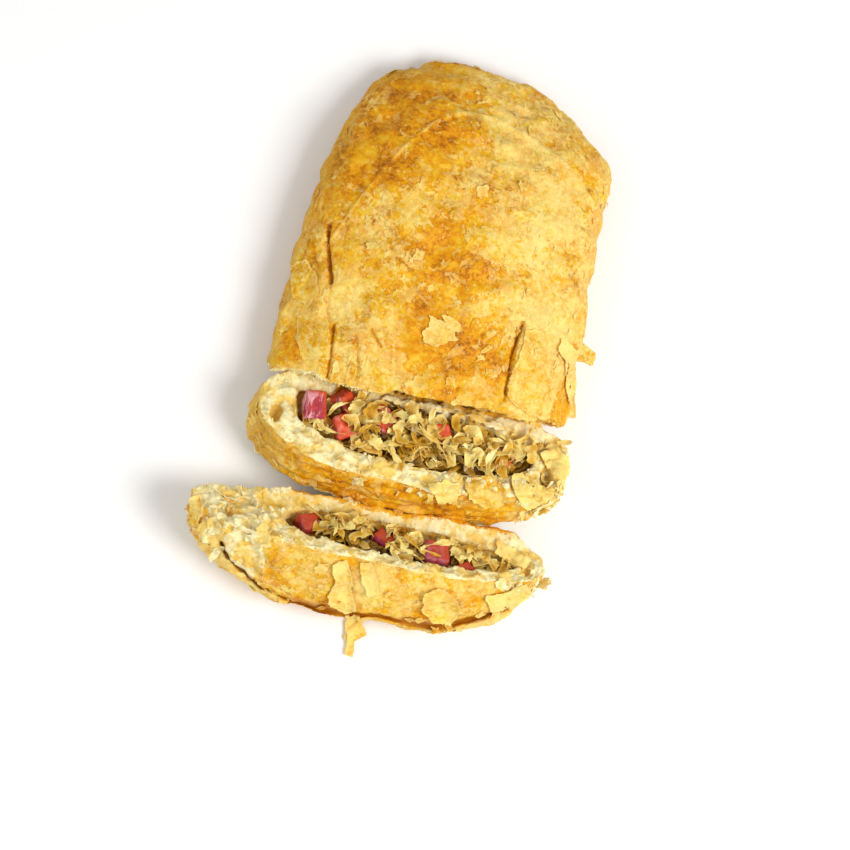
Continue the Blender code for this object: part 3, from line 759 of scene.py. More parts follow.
def ham_material(settings):
    """Cured ham with fat streaks, damp and darker at its smoked sides. Reads tint, which also
    paints shade on the cubes that lie deep, and side from the mesh."""
    material, tree, shader = new_material("Ham")
    vector = place(tree)
    tint, side = attribute(tree, "tint"), attribute(tree, "side")
    fibre = clouds(tree, vector, 0.0022, 4.0, 1.5)
    stretched = drawn_out(tree, vector, (0.4, 0.3, 0.9), (1, 0.3, 0.6))
    streak = remap(tree, clouds(tree, stretched, 0.0042, 3.0, 1.0), 0.49, 0.60)
    colour = blend(tree, side, settings.lean, settings.rind)
    dark = remap(tree, fibre, 0.35, 0.7, 0.0, 0.5)
    dark = sums(tree, "MULTIPLY", dark, remap(tree, side, 0.2, 1.0, 1.0, 0.2))
    colour = blend(tree, dark, colour, HAM_GRAIN)
    streak = sums(tree, "MULTIPLY", streak, remap(tree, tint, 0.0, 0.6, 0.75, 0.2))
    streak = sums(tree, "MULTIPLY", streak, remap(tree, side, 0.3, 1.0, 1.0, 0.3))
    colour = blend(tree, streak, colour, settings.fat)
    # Painted shade on the cubes that lie deep
    colour = blend(tree, sums(tree, "MULTIPLY", tint, 0.7), colour, HAM_SHADE)
    rough = remap(tree, fibre, 0.3, 0.7, 0.34, 0.55)
    connect(tree, shader, colour, rough, fibre, 0.0005, 0.5)
    shader.inputs["Subsurface Weight"].default_value = 0.2
    shader.inputs["Subsurface Radius"].default_value = (1.0, 0.35, 0.25)
    shader.inputs["Subsurface Scale"].default_value = 0.002
    shader.inputs["Specular IOR Level"].default_value = 0.35
    shader.inputs["Coat Weight"].default_value = 0.15
    shader.inputs["Coat Roughness"].default_value = 0.25
    return material


def crust_material(settings):
    return bpy.data.materials.get("Puff pastry") or pastry_material(settings)


def sheet_material(settings):
    return bpy.data.materials.get("Broken pastry sheets") or flake_material(settings)


# The pastry

# Where the loaf's top is browned more (or, below zero, less) than the rest, with painted shade
# mixed in towards the back and left and painted light on the right side: centre and reach in
# pixels, and by how much
LOAF_ZONES = (
    (452, 258, 48, 0.17),
    (405, 296, 30, 0.10),
    (350, 150, 50, 0.26),
    (315, 225, 36, 0.16),
    (400, 86, 30, 0.30),
    (470, 380, 46, 0.13),
    (430, 150, 40, 0.12),
    (440, 115, 22, 0.12),
    (288, 350, 13, 0.26),
    (312, 322, 18, -0.16),
    (525, 135, 40, -0.14),
    (540, 225, 42, -0.24),
    (548, 330, 36, -0.26),
    (505, 92, 34, -0.16),
    (378, 208, 20, -0.14),
    (346, 306, 14, -0.16),
    (395, 330, 16, -0.12),
    (385, 148, 46, 0.16),
    (462, 96, 36, 0.22),
    (420, 338, 46, 0.14),
    (305, 330, 22, 0.14),
)
# Lines in the loaf's top, in pixels, with their width in pixels, depth in metres and darkness,
# which paints shade into the line's groove and a browner crust along it
LOAF_LINES = (
    ([(331, 229), (330, 240), (329, 252), (331, 266), (333, 286)], 2.1, 0.0042, 1.0),
    ([(333, 286), (332, 300), (329, 312), (333, 330)], 1.4, 0.0009, 0.35),
    ([(336, 328), (334, 350), (333, 368), (331, 381)], 1.5, 0.0028, 0.8),
    ([(312, 242), (307, 256), (302, 268)], 1.4, 0.0010, 0.5),
    ([(314, 244), (317, 258), (319, 270)], 1.4, 0.0010, 0.45),
    ([(358, 338), (359, 356), (361, 372)], 1.4, 0.0012, 0.5),
    ([(373, 332), (378, 342), (382, 349)], 1.4, 0.0012, 0.6),
    ([(521, 325), (515, 342), (509, 360), (507, 378), (503, 399)], 1.9, 0.0032, 0.9),
    ([(391, 252), (398, 262), (407, 270), (414, 279)], 1.4, 0.0009, 0.5),
    ([(492, 330), (478, 338), (466, 347)], 1.4, 0.0008, 0.4),
    ([(462, 352), (486, 344), (500, 333)], 1.4, 0.0006, 0.35),
)
# Where the top is drawn out in fibres: centre and reach in pixels
FIBRES = (
    (348, 255, 17),
    (345, 290, 17),
    (350, 325, 15),
    (352, 362, 16),
    (560, 380, 14),
    (318, 215, 12),
)
# How brown each crust is in general, from 0 to 1
LOAF_TONE, SLICE_TONE, END_TONE = 0.50, 0.54, 0.42
# The loaf, in metres: where the crack and the wedge of its top run, how high the ridge of the fold
# and the plate beyond the crack stand, how deep the wedge is, and how far the front cut is sunk
# where the filling lies
CRACK_X, WEDGE_X = 0.0390, 0.0735
RIDGE_HEIGHT, PLATE_RISE, WEDGE_DEPTH, CUT_SUNK = 0.0010, 0.0011, 0.0014, 0.004
# How far the slices' top crust hangs over their cuts, and how deep the line is where the end
# piece's lip parts from its crust, in metres
SLICE_RIM, END_RIM, LIP_GAP_DEPTH = 0.0050, 0.0052, 0.0060
# How fine each mesh is, in metres
LOAF_VOXEL, SLICE_VOXEL, CORE_VOXEL, HAM_VOXEL, LUMP_VOXEL = 0.0010, 0.0008, 0.0011, 0.0006, 0.0006
# How thick the thin pieces are, in metres
SHEET_THICKNESS, FLAKE_THICKNESS, SHRED_THICKNESS = 0.00028, 0.0004, 0.00022


def fold_line(x):
    """Where the closed end's dough is folded over the loaf's top."""
    bend = np.where(x < -0.010, 26.5, 5.4)
    return 0.112 - bend * (x + 0.010) ** 2


def plate_relief(points, settings, seed, strength):
    """Height of the broken plates, and each plate's own number."""
    warp = np.stack([noise(points, 0.005, seed + i, 2) for i in range(3)], 1) * 0.0026
    border, own, away = plates(points + warp, settings.plate_size, seed + 4)
    step = settings.plate_step * strength
    height = step * (own > 0.45) + step * (own > 0.8)
    slope = away[:, 0] * (own - 0.5) * 2 + away[:, 1] * (own * 7 % 1 - 0.5)
    height += step * 1.3 * np.clip(slope, -1, 1)
    height -= step * 0.35 * (1 - ease(0.0, 0.10, border))
    return height, own


def fine_relief(points, seed):
    """Slight swells and fine grain of the crust, in metres."""
    return (
        0.0009 * noise(points, 0.017, seed, 2)
        + 0.00032 * noise(points, 0.0052, seed + 5, 2)
        + 0.00008 * noise(points, 0.0024, seed + 9)
    )


def crumb_relief(points, settings, seed):
    """The torn crumb of cut dough: thin walls round pits, with lumps on them, and how deep each
    point lies in a pit, from 0 to 1."""
    size, depth = settings.crumb_size, settings.crumb_depth
    walls = 1 - ease(0.0, 0.34, np.abs(noise(points, size * 2.7, seed, 2)))
    small = 1 - ease(0.0, 0.40, np.abs(noise(points, size * 1.2, seed + 3)))
    height = depth * (1.1 * walls + 0.3 * small - 0.8 + 0.5 * noise(points, size, seed + 6, 2))
    return height, ease(-0.2, -1.0, height / depth)


def move_out(obj, points, normals, height):
    """Raises the surface by that height, and nowhere into the ground."""
    moved = points + normals * height[:, None]
    moved[:, 2] = np.maximum(moved[:, 2], 0.0)
    set_points(obj, moved)


def make_loaf(settings):
    """The loaf's crust, and the nodes that it replaces."""
    obj = welded_copy("loaf_pastry", "loaf_crust", "loaf_filling")
    fine_skin(obj, LOAF_VOXEL, 14)
    filling = tree_of(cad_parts["loaf_filling"])
    points, normals = points_of(obj), normals_of(obj)
    own = points - SHIFT
    x, y, z = own.T
    near = distances(points, filling)
    behind = y - (LOAF_CUT_Y + CUT_SLANT * x)
    cut = ease(0.0016, 0.0004, behind) * ease(-0.2, -0.6, normals[:, 1])
    outer = (1 - cut) * ease(0.001, 0.004, z) * ease(-0.6, 0.0, normals[:, 2])
    top = ease(0.1, 0.6, normals[:, 2])
    rough_share = 0.45 + 0.55 * ease(-0.05, 0.05, x - 0.2 * y)
    height, number = plate_relief(own, settings, 11, 1.0)
    height = (height * rough_share * (0.4 + 0.6 * top) + fine_relief(own, 21)) * outer
    # The ridge where the closed end is folded over
    beyond = y - fold_line(x)
    height += top * RIDGE_HEIGHT * np.exp(-((beyond + 0.0008 * noise(own, 0.01, 3)) / 0.0016) ** 2)
    # The slits and fine lines of the top
    pixels = seen(points)
    carved, dark = np.zeros(len(x)), np.zeros(len(x))
    for line, width, depth, darkness in LOAF_LINES:
        there = from_line(pixels, line) + 0.9 * noise(own, 0.004, 7, 2)
        there = np.exp(-((there / width) ** 2)) * top * outer
        carved = np.maximum(carved, there * depth)
        dark = np.maximum(dark, there * darkness)
    height -= carved
    # The plate that stands up at the right front, beyond its crack
    crack = x - CRACK_X - 0.12 * np.maximum(0, y + 0.01) + 0.0030 * noise(own, 0.008, 7, 3)
    plate = ease(0.0, 0.0012, crack) * ease(0.0300, 0.0288, crack) * ease(0.012, 0.010, y + 0.2 * x)
    height += top * plate * PLATE_RISE
    # The sunk wedge near the right side, which widens towards the front
    wedge = np.abs(x - WEDGE_X + 0.0015 * noise(own, 0.006, 9, 2)) - 0.0008
    wedge = ease(0.0016, 0.0, wedge - 0.0045 * ease(-0.008, -0.030, y)) * ease(0.004, -0.004, y)
    height -= wedge * outer * WEDGE_DEPTH
    crumb, pit = crumb_relief(own, settings, 31)
    height += crumb * cut
    sunk = cut * ease(0.0012, 0.0004, near)
    move_out(obj, points, normals, height)
    points = points_of(obj)
    points[:, 1] += sunk * CUT_SUNK
    # The lip of crust over the front cut
    lip = ease(0.010, 0.0, behind) * ease(0.012, 0.026, z)
    reach = 0.0042 * ease(-0.010, -0.035, x) + 0.0028 * ease(0.030, 0.055, x) + 0.0004
    points[:, 1] -= lip * (reach + 0.0010 * noise(own, 0.007, 15, 2))
    set_points(obj, points)
    # Browning with painted light and shade in it, fibres, and painted shade on the sides and the
    # back end
    # The zones paint shade towards the back and left and light on the right into the browned tone
    tone = np.full(len(x), LOAF_TONE)
    for across, down, reach, change in LOAF_ZONES:
        away = np.hypot(pixels[:, 0] - across, pixels[:, 1] - down)
        tone += change * np.exp(-((away / reach) ** 2)) * top
    streak = np.zeros(len(x))
    for across, down, reach in FIBRES:
        away = np.hypot((pixels[:, 0] - across) * 1.3, (pixels[:, 1] - down) * 0.8)
        streak = np.maximum(streak, np.exp(-((away / reach) ** 2)) * top)
    tone += 0.16 * noise(own, 0.030, 41, 3) + 0.08 * (number - 0.5)
    tone += 0.16 * wedge - 0.10 * plate * top
    # Painted shade where the slits and lines run
    tone += 0.3 * dark - 0.14 * np.exp(-((beyond / 0.0018) ** 2)) * top
    # Sides facing left and back: the greenish colour of less baked dough, and painted shade
    side = ease(0.75, 0.1, normals[:, 2])
    shaded_left_side = side * ease(0.3, -0.5, normals[:, 0] - 0.6 * normals[:, 1])
    store(obj, "browning_light_and_shade", np.clip(tone, 0, 1))
    # Painted shade in the same colour at the back end beyond the fold and at the back left
    shaded = ease(70, 10, np.hypot(pixels[:, 0] - 420, (pixels[:, 1] - 62) * 1.4))
    shaded = np.maximum(shaded, ease(75, 15, np.hypot(pixels[:, 0] - 310, pixels[:, 1] - 150)))
    store(obj, "olive_and_shade", np.clip(shaded_left_side + 0.55 * shaded, 0, 1))
    store(obj, "streak", streak)
    # Painted shade in the slits, which the material turns the darkest crust colour
    store(obj, "gap", np.clip(dark * 1.1 - 0.25, 0, 0.9))
    store(obj, "cut", cut * (1 - 0.9 * ease(0.016, 0.026, z) * ease(-0.040, -0.028, x)))
    # Painted shade in the crumb's pits, in the damp dough colour
    store(obj, "near", np.clip(np.exp(-near / 0.004) + 0.8 * pit, 0, 1))
    return obj, ("loaf_crust",)


def make_slice(settings):
    """The middle slice's pastry, and the nodes that it replaces."""
    obj = welded_copy("slice_pastry", "slice_crust")
    fine_skin(obj, SLICE_VOXEL, 7)
    filling = tree_of(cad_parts["slice_filling"])
    points, normals = points_of(obj), normals_of(obj)
    local = upright(points, SLICE_MATRIX)
    turned = upright_normals(normals, SLICE_MATRIX)
    near = distances(points, filling)
    rear = ease(-0.0022, -0.0008, local[:, 1])
    front = ease(-0.0278, -0.0292, local[:, 1])
    cut = np.maximum(rear, front)
    free = ease(0.0006, 0.0016, near)
    outer = (1 - cut) * free
    height, number = plate_relief(local, settings, 12, 0.7)
    layers = np.sin(local[:, 1] / 0.0011 + 3 * noise(local, 0.012, 8, 2))
    height = (height + fine_relief(local, 22) + 0.0004 * layers) * outer
    crumb, pit = crumb_relief(local, settings, 32)
    height += (crumb + 0.0020 * noise(local, 0.007, 33)) * cut * free
    # The rim of the top crust, which hangs over the cut
    x = local[:, 0]
    rim = ease(-0.012, -0.003, local[:, 1]) * ease(0.007, 0.002, local[:, 2])
    rim *= ease(-0.082, -0.068, x) * ease(0.082, 0.060, x) * ease(0.6, 0.0, turned[:, 2])
    ends = np.maximum(ease(-0.020, -0.045, x), ease(0.035, 0.055, x))
    points[:, 1] += rim * (SLICE_RIM - 0.0004 * ends + 0.0010 * noise(local, 0.008, 46, 2))
    # The dough of the cut that bulges over the filling
    inward = ease(-0.008, -0.001, local[:, 1]) * ease(0.016, 0.009, local[:, 2])
    inward *= np.exp(-near / 0.0025) * ease(-0.058, -0.040, x) * ease(0.062, 0.045, x)
    along = np.array(SLICE_MATRIX)[:3, 2]
    points += along * (0.0030 * inward)[:, None]
    cut = cut * (1 - rear * rim * ease(0.0034, 0.0016, local[:, 2]))
    move_out(obj, points, normals, height)
    tone = SLICE_TONE + 0.14 * noise(local, 0.02, 42, 3) + 0.12 * (number - 0.5)
    tone -= 0.22 * ease(-0.045, -0.07, x) + 0.26 * ease(0.050, 0.074, x)
    tone += 0.10 * ease(0.3, 0.8, turned[:, 2])
    store(obj, "browning_light_and_shade", np.clip(tone, 0, 1))
    # The slice's left end: greenish colour with painted shade
    store(obj, "olive_and_shade", 0.8 * ease(-0.055, -0.075, x) * outer)
    store(obj, "gap", np.zeros(len(x)))
    store(obj, "cut", np.clip(cut + 0.7 * (1 - free), 0, 1))
    near = np.exp(-near / 0.0035) * (1 - 0.9 * ease(0.016, 0.006, local[:, 2]))
    # Painted shade in the crumb's pits, in the damp dough colour
    store(obj, "near", np.clip(near + 0.8 * pit * cut, 0, 1))
    return obj, ("slice_crust",)


# The lip of the end piece, as its outline in pixels
END_LIP = [
    (222, 532), (243, 563), (280, 591), (323, 607), (352, 610), (402, 618), (450, 624), (510, 606),
    (565, 590), (565, 665), (195, 665), (195, 535),
]
# The smooth wall inside its left end, in pixels
END_WALL = [(262, 494), (300, 489), (345, 498), (330, 506), (302, 504), (292, 516), (278, 514)]
# Lines where the lip parts from the crust, in pixels, with the gap's width. Each is sunk and
# painted darker as shade
END_LIP_GAPS = (
    ([(228, 540), (243, 562), (261, 576), (280, 588), (296, 597), (312, 601)], 1.5),
    ([(300, 599), (318, 604), (338, 606), (352, 607)], 4.4),
    ([(352, 607), (380, 611), (402, 616)], 2.0),
    ([(404, 616), (420, 621), (438, 622), (450, 620)], 4.6),
    ([(450, 620), (480, 612), (505, 603)], 2.6),
)


def make_end(settings):
    """The end piece's pastry, and the nodes that it replaces."""
    obj = welded_copy("end_pastry", "end_crust")
    fine_skin(obj, SLICE_VOXEL, 7)
    filling = tree_of(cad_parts["end_filling"])
    points, normals = points_of(obj), normals_of(obj)
    local = upright(points, END_MATRIX)
    turned = upright_normals(normals, END_MATRIX)
    near = distances(points, filling)
    cut = ease(-0.0024, -0.0008, local[:, 1]) * ease(0.1, 0.5, turned[:, 1])
    free = ease(0.0006, 0.0016, near)
    low = ease(0.0010, 0.0030, points[:, 2])
    outer = (1 - cut) * free * low
    height, number = plate_relief(local, settings, 13, 0.8)
    height = (height + fine_relief(local, 23)) * outer
    crumb, pit = crumb_relief(local, settings, 34)
    height += (crumb + 0.0014 * noise(local, 0.008, 35)) * cut * free
    torn_left = ease(-0.040, -0.062, local[:, 0]) * free * low
    lumps, hollows = crumb_relief(local * 0.7, settings, 36)
    height += (lumps * 1.1 + 0.0016 * noise(local, 0.009, 37)) * torn_left
    # The rim of the top crust, which hangs over the cut
    x = local[:, 0]
    rim = ease(-0.012, -0.003, local[:, 1]) * ease(0.007, 0.002, local[:, 2])
    rim *= ease(-0.070, -0.048, x) * ease(0.086, 0.066, x) * ease(0.6, 0.0, turned[:, 2])
    reach = END_RIM + 0.0022 * ease(0.000, 0.040, x) + 0.0012 * noise(local, 0.008, 47, 2)
    points[:, 1] += rim * reach
    cut = cut * (1 - rim * ease(0.0040, 0.0016, local[:, 2]))
    height *= 1 - 0.6 * rim
    # The smooth inner wall, the lip below, and the line where the lip parts from the crust
    pixels = seen(points)
    wall = ease(-3, 3, inside(pixels, END_WALL)) * (1 - 0.7 * rim)
    height *= 1 - 0.8 * wall
    lip = ease(-3, 3, inside(pixels, END_LIP)) * low
    gap = np.zeros(len(x))
    for line, width in END_LIP_GAPS:
        there = from_line(pixels, line) + 1.2 * noise(points, 0.007, 48, 2)
        gap = np.maximum(gap, np.exp(-((there / width) ** 2)) * ease(0.0, 0.3, normals @ LOOK))
    points -= LOOK * (LIP_GAP_DEPTH * gap)[:, None]
    move_out(obj, points, normals, height)
    # Painted shade: the grooves of the lip are darker
    tone = (
        END_TONE
        + 0.3 * gap
        + (-0.18 - 0.08 * ease(0.01, -0.03, x)) * lip
        + 0.25 * rim
        + 0.20 * noise(local, 0.022, 43, 3)
        + 0.12 * (number - 0.5)
    )
    tone += 0.22 * np.exp(-(((x + 0.030) / 0.018) ** 2 + ((local[:, 1] + 0.034) / 0.014) ** 2))
    tone += 0.20 * np.exp(-(((x - 0.028) / 0.022) ** 2 + ((local[:, 1] + 0.030) / 0.014) ** 2))
    tone += 0.22 * ease(-0.5, -0.9, turned[:, 1]) + 0.16 * noise(local, 0.010, 49, 2)
    store(obj, "browning_light_and_shade", np.clip(tone, 0, 1))
    store(obj, "olive_and_shade", np.zeros(len(x)))
    torn = 0.85 * torn_left * ease(-0.3, 0.2, noise(local, 0.009, 44)) * (1 - lip)
    # Painted shade in the lip's grooves, which the material turns the darkest crust colour
    store(obj, "gap", 0.85 * gap)
    store(obj, "cut", np.clip(cut + 0.7 * (1 - free) + torn, 0, 1))
    pit = np.maximum(pit * cut, hollows * torn_left)
    # Painted shade in the pits, and the damp dough colour on the hollow's inner wall
    store(obj, "near", np.clip(np.exp(-near / 0.0035) + 0.7 * pit + 0.7 * wall, 0, 1))
    return obj, ("end_crust",)


class STRUDEL_OT_pastry(bpy.types.Operator):
    """Adds the baked crusts of the loaf, the middle slice and the end piece"""

    bl_idname = "strudel.pastry"
    bl_label = "Pastry"

    def execute(self, context):
        settings = context.scene.strudel_pastry
        material = crust_material(settings)
        for make in (make_loaf, make_slice, make_end):
            obj, nodes = make(settings)
            finish(obj, material, "crust", *nodes)
        return {"FINISHED"}


# The broken sheets on top of the crusts

CURL_STEPS = 6  # how many grid steps in from its torn edge a sheet starts to curl
LEAST_SCRAP = 60  # faces: smaller islands of a sheet are left out
# The slices' sheets: piece, place, seed, how little of the crust is covered, and how much browner
SLICE_SHEETS = (("slice", SLICE_MATRIX, 55, 0.02, -0.02), ("end", END_MATRIX, 56, 0.16, 0.04))


def ring_steps(mesh, most):
    """How many steps each point lies from the open border, up to a limit."""
    bm = bmesh.new()
    bm.from_mesh(mesh)
    steps = np.full(len(bm.verts), most, float)
    front = [v for v in bm.verts if v.is_boundary]
    bm.verts.index_update()
    met = {v.index for v in front}
    for step in range(most):
        following = []
        for v in front:
            steps[v.index] = step
            for e in v.link_edges:
                other = e.other_vert(v)
                if other.index not in met:
                    met.add(other.index)
                    following.append(other)
        front = following
    bm.free()
    return steps


def without_scraps(faces, count, least):
    """Leaves out the islands that have fewer faces than `least`."""
    parent = list(range(count))

    def root(i):
        while parent[i] != i:
            parent[i] = parent[parent[i]]
            i = parent[i]
        return i

    for face in faces:
        first = root(face[0])
        for i in face[1:]:
            parent[root(i)] = first
    roots = [root(face[0]) for face in faces]
    size = {}
    for i in roots:
        size[i] = size.get(i, 0) + 1
    return [face for face, i in zip(faces, roots) if size[i] >= least]


def torn_sheet(name, source, kept, lift, curl, seed, tone):
    """A broken sheet of dough: the part of the crust's surface that `kept` picks, standing a
    little off it, with its torn edges curled up here and there."""
    mesh = source.data
    faces = [tuple(p.vertices) for p in mesh.polygons if all(kept[i] for i in p.vertices)]
    faces = without_scraps(faces, len(mesh.vertices), LEAST_SCRAP)
    used = sorted({i for f in faces for i in f})
    index = {old: new for new, old in enumerate(used)}
    points, normals = points_of(source)[used], normals_of(source)[used]
    obj = new_object(name, points.tolist(), [tuple(index[i] for i in f) for f in faces])
    steps = ring_steps(obj.data, CURL_STEPS)
    upturned = ease(0.05, 0.5, noise(points, 0.009, seed, 2))
    curled = curl * upturned * (1 - steps / CURL_STEPS) ** 2
    rise = lift + curled + 0.25 * lift * noise(points, 0.003, seed + 1)
    rise = rise - lift * 0.8 * (1 - upturned) * (1 - ease(0, 2, steps))
    set_points(obj, points + normals * rise[:, None])
    store(obj, "browning_light_and_shade", np.clip(read(source, "browning_light_and_shade")[used] + tone, 0, 1))
    store(obj, "olive_and_shade", read(source, "olive_and_shade")[used])
    store(obj, "rim", (1 - ease(0, 3, steps)) * (0.4 + 0.6 * upturned))
    apply_modifier(obj, "SOLIDIFY", thickness=SHEET_THICKNESS, offset=-1)
    return obj


class STRUDEL_OT_torn_sheets(bpy.types.Operator):
    """Adds the broken outer sheets of dough that lie on the crusts"""

    bl_idname = "strudel.torn_sheets"
    bl_label = "Torn sheets"

    def execute(self, context):
        settings = context.scene.strudel_pastry
        material = sheet_material(settings)
        lift = settings.sheet_lift
        loaf, points, normals = crust_of("loaf")
        own = points - SHIFT
        open_top = (normals[:, 2] > 0.12) & (own[:, 2] > 0.010) & (read(loaf, "cut") < 0.2)
        large = noise(own, 0.020, 51, 4) + 0.35 * noise(own, 0.005, 52, 2)
        lower = open_top & (large > 0.06)
        right = ease(-0.03, 0.06, own[:, 0] - 0.3 * own[:, 1])
        small = noise(own, 0.0085, 53, 3) + 0.4 * noise(own, 0.003, 54)
        upper = open_top & (small > 0.44 - 0.12 * right)
        made = [
            torn_sheet("loaf_sheet_lower", loaf, lower, lift, 0.0004, 61, -0.04),
            torn_sheet("loaf_sheet_upper", loaf, upper, lift * 2.0, 0.0005, 62, -0.12),
        ]
        for name, matrix, seed, level, tone in SLICE_SHEETS:
            crust, points, normals = crust_of(name)
            local, turned = upright(points, matrix), upright_normals(normals, matrix)
            outside = (read(crust, "cut") < 0.25) & (turned[:, 2] > -0.5)
            outside &= (points[:, 2] > 0.002) & (turned[:, 1] < 0.5)
            outside &= read(crust, "gap") < 0.1
            field = noise(local, 0.014, seed, 3) + 0.4 * noise(local, 0.004, seed + 5, 2)
            torn = outside & (field > level)
            made.append(torn_sheet(f"{name}_sheet", crust, torn, lift, 0.0006, seed, tone))
        for obj in made:
            finish(obj, material, "crust", thin=True)
        return {"FINISHED"}


# The larger flakes, each drawn by its outline in pixels: what carries it, how much browner than
# the crust's middle tone, how far it stands off and how far its edges curl up, in metres
DRAWN_FLAKES = (
    ("loaf", -0.06, 0.0007, 0.0006, [(524, 331), (548, 333), (546, 372), (551, 398), (546, 420),
        (526, 416), (507, 402), (506, 388), (511, 371), (519, 352)]),
    ("loaf", -0.30, 0.0010, 0.0012, [(558, 338), (577, 352), (576, 385), (577, 418), (570, 416),
        (565, 392), (562, 365), (556, 350)]),
    ("loaf", -0.14, 0.0005, 0.0009, [(427, 316), (441, 324), (452, 333), (457, 342), (447, 345),
        (437, 349), (424, 346), (421, 335), (429, 329)]),
    ("loaf", -0.16, 0.0009, 0.0008, [(440, 317), (456, 322), (463, 334), (456, 335), (446, 330)]),
    ("loaf", 0.06, 0.0007, 0.0008, [(292, 268), (309, 262), (318, 276), (322, 298), (311, 310),
        (297, 300)]),
    ("loaf", 0.00, 0.0003, 0.0002, [(300, 318), (325, 312), (333, 338), (328, 362), (306, 361),
        (299, 340)]),
    ("slice", -0.34, 0.0012, 0.0020, [(512, 470), (530, 478), (548, 492), (560, 500), (547, 514),
        (530, 516), (520, 503), (508, 486)]),
    ("slice", -0.34, 0.0012, 0.0020, [(538, 448), (551, 444), (566, 458), (564, 474), (556, 486),
        (549, 470), (541, 462)]),
    ("slice", -0.04, 0.0010, 0.0016, [(463, 478), (486, 474), (505, 488), (502, 503), (484, 506),
        (468, 496)]),
    ("slice", -0.22, 0.0010, 0.0012, [(428, 484), (446, 478), (459, 486), (455, 501), (438, 500)]),
    ("end", -0.22, 0.0010, 0.0014, [(336, 558), (350, 552), (356, 570), (354, 588), (360, 604),
        (350, 607), (334, 600), (330, 590), (339, 574)]),
    ("end", -0.22, 0.0009, 0.0012, [(362, 556), (374, 557), (380, 575), (381, 588), (371, 590),
        (364, 575)]),
    ("end", -0.04, 0.0012, 0.0018, [(424, 586), (438, 580), (452, 588), (462, 604), (450, 618),
        (432, 616), (422, 604)]),
    ("end", -0.34, 0.0010, 0.0016, [(496, 538), (515, 548), (528, 560), (520, 567), (505, 558),
        (493, 550)]),
    ("end", -0.36, 0.0011, 0.0016, [(482, 590), (505, 586), (522, 578), (527, 590), (509, 604),
        (488, 606)]),
    ("end", -0.10, 0.0016, 0.0022, [(193, 499), (208, 492), (214, 506), (208, 522), (196, 518)]),
    ("end", 0.10, 0.0010, 0.0010, [(262, 574), (280, 580), (296, 590), (292, 598), (274, 590)]),
    ("end", -0.12, 0.0006, 0.0012, [(347, 610), (361, 610), (364, 624), (367, 632), (356, 640),
        (353, 654), (345, 652), (349, 636), (346, 624)]),
)


FLAKE_STEP = 1.1  # pixels from one point of a drawn flake to the next
FLAKE_TONE = 0.46  # how brown the crusts are where drawn flakes lie
LOWEST = 0.0006  # where a drawn flake past the crust lies over the ground, in metres


def drawn_flake(number, tree, tone, lift, curl, outline):
    """A flake with that outline as the camera sees it, laid on what is under it."""
    xs, ys = zip(*outline)
    columns = int((max(xs) - min(xs)) / FLAKE_STEP) + 5
    rows = int((max(ys) - min(ys)) / FLAKE_STEP) + 5
    corners = np.array(
        [
            (min(xs) + (i - 2) * FLAKE_STEP, min(ys) + (j - 2) * FLAKE_STEP)
            for j in range(rows)
            for i in range(columns)
        ]
    )
    flat = unseen(corners)
    deep = inside(corners, outline) + 2.0 * noise(flat, 0.0045, 100 + number, 3) + 0.6
    points = []
    for spot, depth in zip(flat, deep):
        start = Vector(spot + LOOK * 0.3)
        hit, normal, _, _ = tree.ray_cast(start, Vector(-LOOK))
        if hit is None or hit.z < LOWEST:
            t = (start.z - LOWEST) / LOOK[2]
            hit, normal = start - Vector(LOOK) * t, Vector((0, 0, 1))
        rise = lift + curl * max(0.0, 1 - depth / 6.0) ** 2
        points.append(hit + (normal + Vector(LOOK)).normalized() * rise)
    keep = deep > 0
    faces = []
    for j in range(rows - 1):
        for i in range(columns - 1):
            corner = j * columns + i
            face = [corner + columns, corner + columns + 1, corner + 1, corner]
            heights = [points[k].z for k in face]
            if keep[face].all() and max(heights) - min(heights) < 0.004:
                faces.append(face)
    used = sorted({k for f in faces for k in f})
    index = {old: new for new, old in enumerate(used)}
    obj = new_object(
        f"drawn_{number}", [points[k] for k in used], [[index[k] for k in f] for f in faces]
    )
    apply_modifier(obj, "SMOOTH", factor=0.5, iterations=3)
    tone = FLAKE_TONE + tone + 0.1 * noise(points_of(obj), 0.008, 120, 2)
    store(obj, "browning_light_and_shade", np.clip(tone, 0, 1))
    store(obj, "rim", 1 - ease(0, 3.5, deep[used]))
    store(obj, "olive_and_shade", np.zeros(len(used)))
    apply_modifier(obj, "SOLIDIFY", thickness=FLAKE_THICKNESS, offset=-1)
    return obj


def joined(name, objects):
    """Several objects as one, which keeps the first one's place."""
    only(objects[0])
    for obj in objects[1:]:
        obj.select_set(True)
    bpy.ops.object.join()
    objects[0].name = name
    return objects[0]


class STRUDEL_OT_large_flakes(bpy.types.Operator):
    """Adds the larger lifted flakes of the loaf and of both slices"""

    bl_idname = "strudel.large_flakes"
    bl_label = "Large flakes"

    def execute(self, context):
        settings = context.scene.strudel_pastry
        material = sheet_material(settings)
        for part in ("loaf", "slice", "end"):
            tree = tree_of(bpy.data.objects[f"{part}_pastry"])
            made = [
                drawn_flake(number, tree, *row[1:])
                for number, row in enumerate(DRAWN_FLAKES)
                if row[0] == part
            ]
            finish(joined(f"{part}_large_flakes", made), material, "crust", thin=True)
        return {"FINISHED"}


# Loose flakes and crumbs

FLAKE_KINDS, CRUMB_KINDS, BIT_KINDS = 6, 4, 6  # how many shapes of each are modelled and copied
FLAKE_SIZES, CRUMB_SIZES = (0.0025, 0.0065), (0.0008, 0.0026)  # least and most, in metres
FLAKE_SHARES = (("loaf", 0.62), ("slice", 0.16), ("end", 0.22))  # of all loose flakes
CRUMB_COUNTS = (("slice", 240), ("end", 300), ("loaf", 140))


